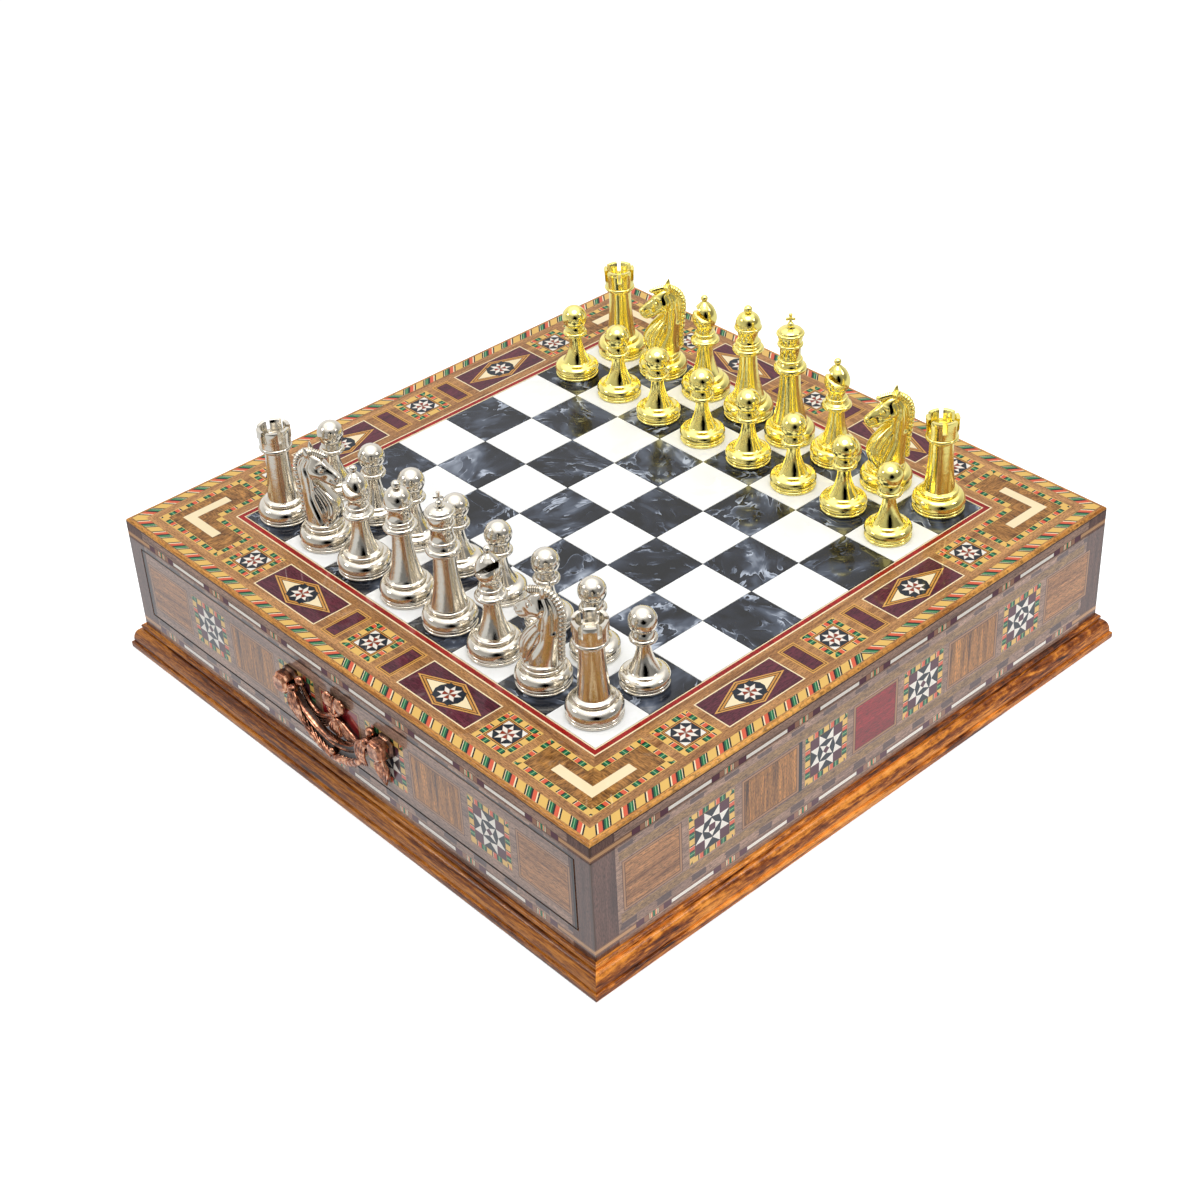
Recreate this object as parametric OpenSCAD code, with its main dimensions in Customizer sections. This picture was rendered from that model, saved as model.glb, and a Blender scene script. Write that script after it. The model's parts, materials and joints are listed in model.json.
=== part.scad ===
// Chess box with two drawers, and its thirty-two chessmen.
// Millimetres, +Z up. The origin is the middle of the box's foot, on the surface it stands on.
// The silver player sits on the -Y side, and the gold player on the +Y side.

/* [Board] */
// Side of one square
square = 35; // [30:1:45]
// Open line between two squares
tile_gap = 0.4; // [0.2:0.1:1]
// Depth of the tiles, the stringing and the mosaic sheet
veneer_t = 0.8; // [0.5:0.1:2]
// Width of the red and cream stringing round the squares
stringing_w = 4; // [2:0.5:8]
// Plain walnut between the stringing and the mosaic
margin_w = 5.4; // [3:0.2:12]
// Width of the mosaic border
mosaic_w = 35.2; // [26:0.2:45]
// Plain walnut outside the mosaic
edge_w = 2.2; // [2:0.1:10]

/* [Case] */
// Thickness of the top board
top_t = 12; // [8:1:20]
// Radius of the top board's upper edge
top_round = 1.7; // [0.5:0.1:1.9]
// Thickness of the side panels, which also sets the frames' stiles
side_t = 10.7; // [8:0.1:18]
// Thickness of the front and rear frames
frame_t = 12; // [8:1:18]
// Height of the frame's rail above the drawer
rail_top_h = 3.2; // [2:0.2:10]
// Height of the frame's rail below the drawer
rail_bottom_h = 12.1; // [9:0.1:20]
// Thickness of the bottom panel
bottom_t = 8; // [4:0.5:9]
// Thickness of the divider between the two drawers
divider_t = 6; // [4:1:12]

/* [Plinth] */
// Height of the plinth moulding
plinth_h = 15.8; // [14:0.2:24]
// Height of the plain band at its foot
plinth_band_h = 6.6; // [4:0.2:8]
// How far the plinth stands out from the case
plinth_out = 7.5; // [7:0.1:12]
// How far the plinth reaches in under the case
plinth_in = 14; // [12:1:24]
// Open glue line in the mitres
mitre_gap = 0.1; // [0.1:0.1:0.4]

/* [Drawers] */
// Height of a drawer's face
face_h = 43.1; // [38:0.1:60]
// Thickness of a drawer's face
face_t = 12; // [9:1:18]
// Gap beside the face
gap_side = 1; // [0.5:0.1:2]
// Gap over the face
gap_top = 0.6; // [0.4:0.1:2]
// Gap under the face
gap_bottom = 0.8; // [0.4:0.1:2]
// Thickness of the drawer's side and back boards
wall_t = 6; // [4:1:10]
// Height of the drawer's side and back boards
wall_h = 38; // [30:1:40]
// Thickness of the drawer's bottom
floor_t = 3; // [2:0.5:5]
// Clearance between the drawer's sides and the case
side_clear = 3; // [1:0.5:6]
// Running gap under the drawer's sides
run_gap = 0.05; // [0.05:0.05:0.3]
// Gap between the drawer's back and the divider that stops it
stop_gap = 0.3; // [0.2:0.1:1]
// Clearance round the bottom and the lining
fit_clear = 0.1; // [0.05:0.05:0.5]
// Thickness of the lining's walls
lining_t = 3; // [2:0.5:5]
// Thickness of the lining's floor
lining_floor_t = 1.5; // [1:0.5:4]
// Height of the lining
lining_h = 32; // [24:1:33]
// Length of the compartments behind the face, which take the king
long_cell = 81; // [70:1:90]

/* [Handles] */
// Height of the bail's pivot over the middle of the drawer's face
handle_rise = 8.8; // [4:0.2:9]
// Distance between the two posts
handle_span = 78; // [74:1:120]
// Width and height of a post
post_w = 11; // [9:0.5:12]
// How far a post stands out
post_out = 9.5; // [9.3:0.1:12]
// Thickness of the backplate
plate_t = 1.4; // [1:0.1:2]
// How far the crest's two knobs stand out
knob_out = 5; // [3:0.5:6]
// Distance from the drawer's face to the bail's pivot
pivot_out = 6.2; // [6:0.1:6.6]
// Diameter of the bail's pins
pin_d = 2.8; // [2:0.1:3]
// Running clearance on the pins' diameter
pin_clear = 0.1; // [0.06:0.02:0.2]
// How deep the pins reach into the posts
pin_in = 6; // [4:0.5:7]
// Diameter of the balls at the bail's ends
ball_d = 6; // [5:0.5:7]
// Side gap between a ball and its post
ball_gap = 0.25; // [0.2:0.05:0.5]
// Depth of the bail's strap at its middle
strap_w = 11; // [7:0.5:12]
// Drop from the pivot to the strap's lower edge
strap_drop = 24.5; // [20:0.5:25]
// Thickness of the strap
strap_t = 3.8; // [3:0.1:4.2]
// Width of the leaf fringe under the strap
fringe_w = 4.5; // [3:0.5:5]
// Diameter of the screws in the posts
screw_d = 4; // [3:0.5:4.5]
// Clearance on the screws' diameter
screw_clear = 0.1; // [0.06:0.02:0.2]
// Diameter of the screw heads
head_d = 7.5; // [6:0.5:8]
// Height of the screw heads
head_h = 2.4; // [1.5:0.1:3]

/* [Chessmen] */
// Foot radius of the king, queen, bishops, knights and rooks
officer_r = 14.4; // [12:0.2:15]
// Foot radius of the pawns
pawn_r = 12.8; // [10:0.2:13]
// Radius of the collar on an officer's foot
collar_r = 10.6; // [10:0.2:11]
// Height of the pawn's neck
pawn_neck_h = 24.5; // [20:0.5:30]
// Height of the rook's neck
rook_neck_h = 38.5; // [30:0.5:45]
// Height of the bishop's neck
bishop_neck_h = 31.5; // [26:0.5:40]
// Height of the queen's neck
queen_neck_h = 39.5; // [32:0.5:46]
// Height of the king's neck
king_neck_h = 40.5; // [34:0.5:48]
// Radius of the pawn's head
pawn_head_r = 7.2; // [6.5:0.1:8]
// Height of the rook's crown
crown_h = 19; // [16:0.5:22]
// Width of the slots in the rook's crown
slot_w = 2.2; // [1.5:0.1:3]
// Height of the king's cross
cross_h = 8; // [6:0.5:10]
// Thickness of the king's cross
cross_t = 2; // [1.5:0.1:2.5]

/* [Hidden] */
FILES = ["a", "b", "c", "d", "e", "f", "g", "h"];
OFFICERS = ["rook", "knight", "bishop", "queen", "king", "bishop", "knight", "rook"];
SETS = ["silver", "gold"];
BOX_NODES = [
    "top_panel", "light_squares", "dark_squares", "stringing", "mosaic_border", "front_frame",
    "rear_frame", "left_side", "right_side", "centre_divider", "bottom_panel", "plinth_moulding"
];
DRAWER_NODES = [
    "drawer_face", "drawer_walls", "drawer_bottom", "drawer_lining", "handle_plate",
    "handle_posts", "handle_screws", "handle_bail"
];
function man_name(set, row, file) = str(SETS[set], "_", row == 0 ? OFFICERS[file] : "pawn", "_", FILES[file]);

board_half = 4 * square + tile_gap / 2;
stringing_half = board_half + stringing_w;
mosaic_in = stringing_half + margin_w;
mosaic_out = mosaic_in + mosaic_w;
half = mosaic_out + edge_w;

rail_z = plinth_h + rail_bottom_h;
opening_h = gap_bottom + face_h + gap_top;
top_z = rail_z + opening_h + rail_top_h;
board_z = top_z + top_t;
inner = half - side_t;

face_z = rail_z + gap_bottom;
face_half = inner - gap_side;
wall_z = rail_z + run_gap;
wall_half = inner - side_clear;
back_y = divider_t / 2 + stop_gap;
front_y = half - face_t;
floor_lift = 0.5;
lining_z = wall_z + floor_lift + floor_t;
lining_half = wall_half - wall_t - fit_clear;
lining_front = front_y - fit_clear;
lining_back = back_y + wall_t + fit_clear;
cells = 4;

pivot_z = face_z + face_h / 2 + handle_rise;
post_x = handle_span / 2;
ball_x = post_x - post_w / 2 - ball_gap - ball_d / 2;
screw_in = pivot_out - pin_d / 2 - pin_clear - 0.4;
cut = 1;

// How the men stand off the middles of their squares, as a hand left them: [x, y] for files a to h.
SILVER_OFFICERS = [[-3.6, -1.2], [-2.4, -0.2], [-2.3, -1.8], [-2, -1.4], [-2.6, -1.4], [-3.1, -1], [-3, -0.4],
    [-1.8, 0]];
SILVER_PAWNS = [[-2.2, -2.2], [-1.8, -1.6], [-2.4, -2], [-2, -1.4], [-2.2, -2.2], [-1.8, -1.8], [-2, -2.4],
    [-2, -2]];
GOLD_OFFICERS = [[-1.4, 1.8], [-1.8, 2.6], [-1.2, 3], [-1, 2.4], [-1, -0.4], [-2.6, 1.3], [-1, 1.3], [-0.2, 3]];
GOLD_PAWNS = [[-2.1, 0.8], [-1.2, 1.6], [-0.9, -0.6], [-0.7, 0], [-1.5, 1.8], [-1.1, 0.4], [-1.2, 2.4],
    [-1.4, -1.2]];
NUDGES = [[SILVER_OFFICERS, SILVER_PAWNS], [GOLD_OFFICERS, GOLD_PAWNS]];
// The way each knight looks, in degrees from +X: silver b, silver g, then gold b, gold g.
KNIGHT_TURN = [[26, 230], [234, 234]];

WALNUT = [0.45, 0.27, 0.15];
PLINTH_WOOD = [0.55, 0.31, 0.1];
COPPER = [0.42, 0.23, 0.15];
METALS = [[0.78, 0.77, 0.74], [0.87, 0.68, 0.2]];

// ---- shared shapes ----

// A box between two corners.
module span(low, high) translate(low) cube(high - low);

// A flat square ring between two half widths, from z0 up.
module ring(in, out, z0, h) difference() {
    span([-out, -out, z0], [out, out, z0 + h]);
    span([-in, -in, z0 - cut], [in, in, z0 + h + cut]);
}

// Extrudes a shape drawn in x and z outwards from the front face, from depth d0 to d1.
module outward(d0, d1) translate([0, -half - d0, 0]) rotate([90, 0, 0]) linear_extrude(d1 - d0) children();

// The front drawer's pieces as drawn, or turned round for the rear drawer.
module at_end(end) rotate(end == "front" ? 0 : 180) children();

module both_sides() {
    children();
    mirror([1, 0, 0]) children();
}

function arc(cx, cz, rx, rz, a0, a1, n) =
    [for (i = [0:n]) let (a = a0 + (a1 - a0) * i / n) [cx + rx * cos(a), cz + rz * sin(a)]];

// ---- the case ----

// A square with its two upper corners rounded, as seen along the board's edge.
module top_section() polygon(concat(
    [[-half, top_z], [half, top_z]],
    arc(half - top_round, board_z - top_round, top_round, top_round, 0, 90, 6),
    arc(top_round - half, board_z - top_round, top_round, top_round, 90, 180, 6)
));

module top_panel() color(WALNUT) difference() {
    intersection() {
        translate([0, half, 0]) rotate([90, 0, 0]) linear_extrude(2 * half) top_section();
        rotate(90) translate([0, half, 0]) rotate([90, 0, 0]) linear_extrude(2 * half) top_section();
    }
    span([-stringing_half, -stringing_half, board_z - veneer_t], [stringing_half, stringing_half, board_z + cut]);
    ring(mosaic_in, mosaic_out, board_z - veneer_t, veneer_t + cut);
}

// Every square whose file and rank add up to an odd or an even number.
module squares(parity) for (file = [0:7]) for (rank = [0:7]) if ((file + rank) % 2 == parity)
    translate([(file - 4) * square + tile_gap / 2, (rank - 4) * square + tile_gap / 2, board_z - veneer_t])
        cube([square - tile_gap, square - tile_gap, veneer_t]);

module light_squares() color([0.93, 0.92, 0.88]) squares(1);
module dark_squares() color([0.2, 0.21, 0.24]) squares(0);
module stringing() color([0.62, 0.1, 0.08]) ring(board_half, stringing_half, board_z - veneer_t, veneer_t);
module mosaic_border() color([0.55, 0.38, 0.22]) ring(mosaic_in, mosaic_out, board_z - veneer_t, veneer_t);

module frame(end) color(WALNUT) at_end(end) difference() {
    span([-half, -half, plinth_h], [half, frame_t - half, top_z]);
    span([-inner, -half - cut, rail_z], [inner, frame_t - half + cut, rail_z + opening_h]);
}

module side_panel() color(WALNUT) span([inner, frame_t - half, plinth_h], [half, half - frame_t, top_z]);

module centre_divider() color([0.6, 0.45, 0.3])
    span([-inner, -divider_t / 2, rail_z], [inner, divider_t / 2, top_z]);

module bottom_panel() color([0.6, 0.45, 0.3])
    span([-inner, frame_t - half, rail_z - bottom_t], [inner, half - frame_t, rail_z]);

// The moulding's section, x outwards from the case: band, ogee, cove and two beads.
function plinth_section() =
    let (step = plinth_h - plinth_band_h, bead = 0.9)
    concat(
        [[-plinth_in, 0], [plinth_out - 1, 0]],
        arc(plinth_out - 1, 1, 1, 1, -60, 0, 2),
        [[plinth_out, plinth_band_h]],
        arc(4.6, plinth_band_h, plinth_out - 5, step - 5, 0, 90, 6),
        [[4.6, plinth_h - 5]],
        arc(4.6, plinth_h - 3.2, 1.4, 1.8, 270, 180, 4),
        arc(3.2 - bead, plinth_h - 2.3, bead, bead, 0, 90, 3),
        [[1.9, plinth_h - 1.4]],
        arc(1.9 - bead, plinth_h - bead, bead, bead, 0, 90, 3),
        [[-plinth_in, plinth_h]]
    );

module plinth_moulding() color(PLINTH_WOOD) for (turn = [0:90:270]) rotate(turn) intersection() {
    translate([half, half + plinth_out, 0]) rotate([90, 0, 0]) linear_extrude(2 * (half + plinth_out))
        polygon(plinth_section());
    translate([mitre_gap, 0, -cut]) linear_extrude(plinth_h + 2 * cut)
        polygon([[0, 0], [2 * half, -2 * half], [2 * half, 2 * half]]);
}

// ---- the drawers ----

module drawer_face(end) color(WALNUT) at_end(end) difference() {
    span([-face_half, -half, face_z], [face_half, -front_y, face_z + face_h]);
    both_sides() {
        translate([post_x, -front_y + cut, pivot_z]) rotate([90, 0, 0])
            cylinder(d = screw_d + screw_clear, h = face_t + 2 * cut, $fn = 32);
        translate([post_x, -front_y + cut, pivot_z]) rotate([90, 0, 0])
            cylinder(d = head_d + 1, h = head_h + 0.4 + cut, $fn = 32);
    }
}

module drawer_walls(end) color([0.6, 0.45, 0.3]) at_end(end) {
    both_sides() span([wall_half - wall_t, -front_y, wall_z], [wall_half, -back_y, wall_z + wall_h]);
    span([wall_t - wall_half + fit_clear, -back_y - wall_t, wall_z],
        [wall_half - wall_t - fit_clear, -back_y, wall_z + wall_h]);
}

module drawer_bottom(end) color([0.68, 0.55, 0.38]) at_end(end)
    span([-lining_half, -lining_front, wall_z + floor_lift], [lining_half, -lining_back, lining_z]);

module drawer_lining(end) color([0.35, 0.02, 0.05]) at_end(end) {
    cell_w = (2 * lining_half - (cells + 1) * lining_t) / cells;
    short_cell = lining_front - lining_back - 3 * lining_t - long_cell;
    difference() {
        span([-lining_half, -lining_front, lining_z], [lining_half, -lining_back, lining_z + lining_h]);
        for (i = [0:cells - 1]) translate([-lining_half + lining_t + i * (cell_w + lining_t), 0, 0]) {
            span([0, lining_t - lining_front, lining_z + lining_floor_t],
                [cell_w, lining_t - lining_front + long_cell, lining_z + lining_h + cut]);
            span([0, -lining_back - lining_t - short_cell, lining_z + lining_floor_t],
                [cell_w, -lining_back - lining_t, lining_z + lining_h + cut]);
        }
    }
}

// ---- the handles ----

// The line that the drapery follows from a post to the middle, as a height under the pivot.
function drape(x) = -5.5 * sin(180 * abs(x) / post_x) - 2;

module handle_plate(end) color(COPPER) at_end(end) difference() {
    drape_w = 5;
    union() {
        both_sides() {
            outward(0, plate_t) translate([post_x, pivot_z]) circle(r = post_w / 2 + 1.6, $fn = 48);
            outward(0, plate_t) translate([post_x - 3.8, pivot_z]) polygon([
                [-3.4, -4], [3.4, -4], [3.4, -9], [5.2, -14], [3.8, -22], [0.6, -28], [-2.6, -22], [-4, -14],
                [-3.4, -9]
            ]);
            outward(0, knob_out) translate([4, pivot_z + 7]) circle(r = 3.4, $fn = 32);
        }
        outward(0, plate_t) translate([0, pivot_z]) polygon(concat(
            [for (x = [-post_x:3:post_x]) [x, drape(x) + drape_w / 2]],
            [for (x = [post_x:-3:-post_x]) [x, drape(x) - drape_w / 2]]
        ));
        outward(0, plate_t) translate([0, pivot_z + 5]) circle(r = 6.4, $fn = 48);
        outward(0, plate_t + 1) translate([0, pivot_z]) polygon([[-2, 2], [2, 2], [5, -13], [0, -15.5], [-5, -13]]);
    }
    both_sides() outward(-cut, plate_t + cut) translate([post_x, pivot_z])
        circle(d = screw_d + screw_clear, $fn = 32);
}

module handle_posts(end) color(COPPER) at_end(end) both_sides() difference() {
    flat = post_w / 2;
    corner = flat - 3.2;
    outward(plate_t, post_out) translate([post_x, pivot_z]) polygon([
        [-flat, -corner], [-corner, -flat], [corner, -flat], [flat, -corner],
        [flat, corner], [corner, flat], [-corner, flat], [-flat, corner]
    ]);
    outward(plate_t - cut, screw_in + 0.2) translate([post_x, pivot_z])
        circle(d = screw_d + screw_clear, $fn = 32);
    translate([post_x - flat - cut, -half - pivot_out, pivot_z]) rotate([0, 90, 0])
        cylinder(d = pin_d + pin_clear, h = pin_in + 0.3 + cut, $fn = 32);
}

module handle_screws(end) color([0.7, 0.7, 0.68]) at_end(end) both_sides() {
    translate([post_x, -front_y - head_h, pivot_z]) rotate([90, 0, 0])
        cylinder(d = screw_d, h = face_t - head_h + screw_in, $fn = 32);
    translate([post_x, -front_y, pivot_z]) rotate([90, 0, 0]) cylinder(d = head_d, h = head_h, $fn = 32);
}

// A disc whose rim passes under the pivot at depth drop and through the pivot's level at x = reach.
module drop_disc(reach, drop, more = 0) {
    r = (reach * reach + drop * drop) / (2 * drop);
    translate([0, r - drop]) circle(r = r + more, $fn = 96);
}

module handle_bail(end) color(COPPER) at_end(end) {
    horn = ball_d / 2 - 0.2;
    outward(pivot_out - strap_t / 2, pivot_out + strap_t / 2) translate([0, pivot_z]) difference() {
        intersection() {
            drop_disc(ball_x + horn, strap_drop);
            translate([-post_x, -2 * strap_drop]) square([2 * post_x, 2 * strap_drop]);
        }
        drop_disc(ball_x - horn, strap_drop - strap_w);
    }
    outward(pivot_out - 0.6, pivot_out + strap_t / 2 + 0.8) translate([0, pivot_z]) difference() {
        intersection() {
            drop_disc(ball_x + horn, strap_drop, fringe_w);
            translate([4.5 - ball_x, -2 * strap_drop]) square([2 * ball_x - 9, 2 * strap_drop - 12]);
        }
        drop_disc(ball_x + horn, strap_drop, -1);
    }
    both_sides() translate([ball_x, -half - pivot_out, pivot_z]) {
        sphere(d = ball_d, $fn = 32);
        rotate([0, 90, 0]) cylinder(d = pin_d, h = post_x - post_w / 2 + pin_in - ball_x, $fn = 32);
    }
}

// ---- the chessmen ----

// A half-round ring whose outermost radius is r, centred on height z.
function bead(r, z, h) = arc(r - h / 2, z, h / 2, h / 2, -90, 90, 6);

// A ball on the axis, from the angle where it meets what is under it up to its pole.
function ball(r, z, from) = arc(0, z, r, r, from, 90, 8);

// A foot: two rings and a bell that rises by bell_h to radius r_top.
function foot(r, r_top, bell_h) = concat(
    [[0, 0], [r - 1, 0]],
    bead(r - 0.2, 1, 1.7),
    bead(r - 0.4, 2.9, 1.5),
    [[r - 1.2, 4.1], [r, 4.8]],
    arc(r_top, 4.8, r - r_top, bell_h, 15, 75, 4)
);

function officer_foot() = concat(
    foot(officer_r, collar_r, 5), [[collar_r - 0.6, 9.9]], bead(collar_r, 11, 2), [[collar_r - 1.4, 12.2]]
);

// A neck that narrows from r0 to r1 in a hollow curve, between two heights.
function neck(r0, r1, z0, z1) = [for (t = [0:1 / 6:1.01]) [r1 + (r0 - r1) * pow(1 - t, 2), z0 + (z1 - z0) * t]];

// A flaring collar on top of a neck of radius r0, out to radius r and h high.
function collar(r0, r, z, h) =
    concat([[r0 + 0.6, z + 0.5], [r - h / 2 - 0.3, z + 1.2]], bead(r, z + 1.4 + h / 2, h));

module turned(points) rotate_extrude($fn = 64) polygon(points);

module pawn() turned(concat(
    foot(pawn_r, 8.4, 3.6),
    neck(8, 3.5, 8.6, pawn_neck_h),
    collar(3.5, 7, pawn_neck_h, 3),
    [[5.8, pawn_neck_h + 4.6], [5.6, pawn_neck_h + 6.6]],
    ball(pawn_head_r, pawn_neck_h + 7.6 + 0.72 * pawn_head_r, -46)
));

module rook() {
    top = rook_neck_h + crown_h;
    floor_z = top - 7;
    difference() {
        turned(concat(
            officer_foot(),
            neck(8.4, 6.5, 12.6, rook_neck_h),
            collar(6.5, 8.9, rook_neck_h, 2.6),
            [[8, rook_neck_h + 4.5], [8, floor_z], [8.6, top - 3], [9.1, top], [6.5, top], [6.2, floor_z], [0, floor_z]]
        ));
        for (turn = [0:60:120]) rotate(turn)
            translate([-officer_r, -slot_w / 2, floor_z + 0.6]) cube([2 * officer_r, slot_w, 9]);
    }
}

module bishop() {
    mitre_z = bishop_neck_h + 11.5;
    difference() {
        turned(concat(
            officer_foot(),
            neck(8, 4.3, 12.6, bishop_neck_h),
            collar(4.3, 8.3, bishop_neck_h, 3),
            [[6.2, bishop_neck_h + 5]],
            bead(6.2, bishop_neck_h + 7, 2.2),
            [[4.7, bishop_neck_h + 9.5], [4.8, mitre_z]],
            [[6, mitre_z + 3], [6.4, mitre_z + 5.6], [6, mitre_z + 8.5], [4.9, mitre_z + 11.8], [3.3, mitre_z + 14.3]],
            ball(2, mitre_z + 17.9, -60)
        ));
        translate([1.5, -9, mitre_z + 6]) rotate([0, -38, 0]) cube([12, 18, 1.1]);
    }
}

module queen() {
    cup_z = queen_neck_h + 8.5;
    turned(concat(
        officer_foot(),
        neck(9, 5, 12.6, queen_neck_h),
        collar(5, 9, queen_neck_h, 3.4),
        [[7, queen_neck_h + 5.6]],
        bead(7.3, queen_neck_h + 7, 2.2),
        [[5.8, cup_z + 0.5], [5.6, cup_z + 3], [6.2, cup_z + 6]],
        bead(7.8, cup_z + 8, 2.4),
        arc(1.9, cup_z + 9.4, 5.3, 7.4, 0, 84, 8),
        ball(2.4, cup_z + 19, -56)
    ));
}

module king() {
    crown_z = king_neck_h + 17;
    turned(concat(
        officer_foot(),
        neck(9.5, 5.8, 12.6, king_neck_h),
        collar(5.8, 9.2, king_neck_h, 4),
        [[7, king_neck_h + 6.2]],
        bead(7, king_neck_h + 9, 2),
        [[5.8, king_neck_h + 11], [5.8, crown_z]],
        bead(7.6, crown_z + 1.4, 2.2),
        [[6.8, crown_z + 3], [7.2, crown_z + 7.6]],
        bead(7.6, crown_z + 9, 1.8),
        [[6.8, crown_z + 10.2], [2.6, crown_z + 12.6], [0, crown_z + 12.8]]
    ));
    translate([0, 0, crown_z + 12]) {
        translate([-cross_t / 2, -cross_t / 2, 0]) cube([cross_t, cross_t, cross_h + 1]);
        translate([-2.7, -cross_t / 2, cross_h - 3.6]) cube([5.4, cross_t, cross_t]);
    }
}

// The horse's head and neck, looking towards +X, cut from a side view and a front view.
module knight() {
    turned(concat(officer_foot(), bead(9.8, 13.2, 2), [[0, 14.2]]));
    intersection() {
        translate([0, 9, 0]) rotate([90, 0, 0]) linear_extrude(18) polygon([
            [7, 14], [9.6, 17], [11.3, 21.5], [11.4, 24.5], [9.8, 28.5], [6.5, 32], [3.6, 34.2], [5.6, 35.9],
            [9.2, 34.4], [12.6, 36.2], [13.9, 39.6], [13.2, 42.6], [11, 45.4], [7, 49], [5.8, 51.8], [5.2, 53.8],
            [1.2, 54.4], [-1.5, 54.6], [-3.2, 57.5], [-5, 54], [-8, 52.6], [-11.2, 48.8], [-13.2, 43.5],
            [-13.6, 38], [-13, 30], [-12.4, 24], [-12.6, 18.5], [-11.6, 15.6], [-9, 14]
        ]);
        rotate([90, 0, 90]) translate([0, 0, -officer_r]) linear_extrude(2 * officer_r) polygon([
            [-8.4, 14], [8.4, 14], [7.6, 20], [6, 26], [4.8, 34], [4.7, 46], [3.8, 52], [2.6, 57.5],
            [-2.6, 57.5], [-3.8, 52], [-4.7, 46], [-4.8, 34], [-6, 26], [-7.6, 20]
        ]);
    }
}

module man(kind) {
    if (kind == "pawn") pawn();
    if (kind == "rook") rook();
    if (kind == "knight") knight();
    if (kind == "bishop") bishop();
    if (kind == "queen") queen();
    if (kind == "king") king();
}

// One man on its square: row 0 is the back rank of its set, and row 1 the pawns.
module placed_man(set, row, file) {
    rank = set == 0 ? row : 7 - row;
    nudge = NUDGES[set][row][file];
    kind = row == 0 ? OFFICERS[file] : "pawn";
    turn = kind == "knight" ? KNIGHT_TURN[set][file < 4 ? 0 : 1] : -42;
    color(METALS[set])
        translate([(file - 3.5) * square + nudge[0], (rank - 3.5) * square + nudge[1], board_z])
            rotate(turn) man(kind);
}

top_panel();
light_squares();
dark_squares();
stringing();
mosaic_border();
frame("front");  // front_frame
frame("rear");  // rear_frame
mirror([1, 0, 0]) side_panel();  // left_side
side_panel();  // right_side
centre_divider();
bottom_panel();
plinth_moulding();
for (end = ["front", "rear"]) {
    drawer_face(end);
    drawer_walls(end);
    drawer_bottom(end);
    drawer_lining(end);
    handle_plate(end);
    handle_posts(end);
    handle_screws(end);
    handle_bail(end);
}
for (set = [0, 1]) for (row = [0, 1]) for (file = [0:7])
    placed_man(set, row, file);
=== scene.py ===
"""A chess box with two drawers, marquetry sides and a mosaic top, and its silver and gold chessmen."""
import json
import math

import bmesh
import bpy
import numpy as np
from mathutils import Matrix, Vector


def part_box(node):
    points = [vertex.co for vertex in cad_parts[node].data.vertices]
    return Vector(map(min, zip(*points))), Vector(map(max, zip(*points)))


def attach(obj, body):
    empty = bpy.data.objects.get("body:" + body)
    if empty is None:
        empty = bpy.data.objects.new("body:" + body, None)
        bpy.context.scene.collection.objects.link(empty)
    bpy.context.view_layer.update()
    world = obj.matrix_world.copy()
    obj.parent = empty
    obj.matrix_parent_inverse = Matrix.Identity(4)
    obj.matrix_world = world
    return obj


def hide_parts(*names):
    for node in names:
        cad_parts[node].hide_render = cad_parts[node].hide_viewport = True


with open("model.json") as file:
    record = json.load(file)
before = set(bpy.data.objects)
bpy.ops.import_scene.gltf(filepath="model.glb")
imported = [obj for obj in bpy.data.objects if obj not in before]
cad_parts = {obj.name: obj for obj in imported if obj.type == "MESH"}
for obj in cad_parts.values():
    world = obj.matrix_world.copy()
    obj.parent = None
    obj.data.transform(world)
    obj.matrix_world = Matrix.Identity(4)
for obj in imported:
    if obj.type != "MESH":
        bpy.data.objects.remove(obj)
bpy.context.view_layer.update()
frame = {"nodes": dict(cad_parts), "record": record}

MM = 0.001
ENDS = {"front": 0, "rear": 180}
FILES = "abcdefgh"


def box_mm(node):
    """Lowest and highest corner of a CAD node, in millimetres."""
    low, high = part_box(node)
    return np.array(low) / MM, np.array(high) / MM


# ---- sizes of the box, in millimetres, from the frame ----

(_, _, TOP_Z), (HALF, _, BOARD_Z) = box_mm("top_panel")
_, (PLINTH_HALF, _, PLINTH_H) = box_mm("plinth_moulding")
STRINGING_OUT = box_mm("stringing")[1][0]
MOSAIC_OUT = box_mm("mosaic_border")[1][0]
VENEER = BOARD_Z - box_mm("mosaic_border")[0][2]
SQUARE_GAP = 0.4
SQUARE = (box_mm("light_squares")[1][0] - box_mm("light_squares")[0][0] + SQUARE_GAP) / 8


# ---- meshes ----

def grid(points, wrap_rows=False, wrap_columns=False):
    """Vertices and four-cornered faces of a surface given as rows of points, which may wrap on itself."""
    rows, columns = points.shape[:2]
    index = np.arange(rows * columns).reshape(rows, columns)
    if wrap_rows:
        index = np.vstack([index, index[:1]])
    if wrap_columns:
        index = np.hstack([index, index[:, :1]])
    faces = np.stack([index[:-1, :-1], index[:-1, 1:], index[1:, 1:], index[1:, :-1]], -1)
    return points.reshape(-1, 3), faces.reshape(-1, 4)


def joined(*shells):
    """Several shells as one list of vertices and one of faces."""
    starts = np.cumsum([0] + [len(vertices) for vertices, _ in shells[:-1]])
    return (np.concatenate([vertices for vertices, _ in shells]),
            np.concatenate([faces + start for (_, faces), start in zip(shells, starts)]))


def turned_about_z(shell, degrees, move=(0, 0, 0)):
    """The shell turned about the vertical axis and then moved."""
    vertices, faces = shell
    c, s = math.cos(math.radians(degrees)), math.sin(math.radians(degrees))
    return vertices @ np.array([[c, s, 0], [-s, c, 0], [0, 0, 1]]) + np.array(move), faces


def added(name, data):
    """Puts an object with this data into the scene."""
    obj = bpy.data.objects.new(name, data)
    bpy.context.scene.collection.objects.link(obj)
    return obj


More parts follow.
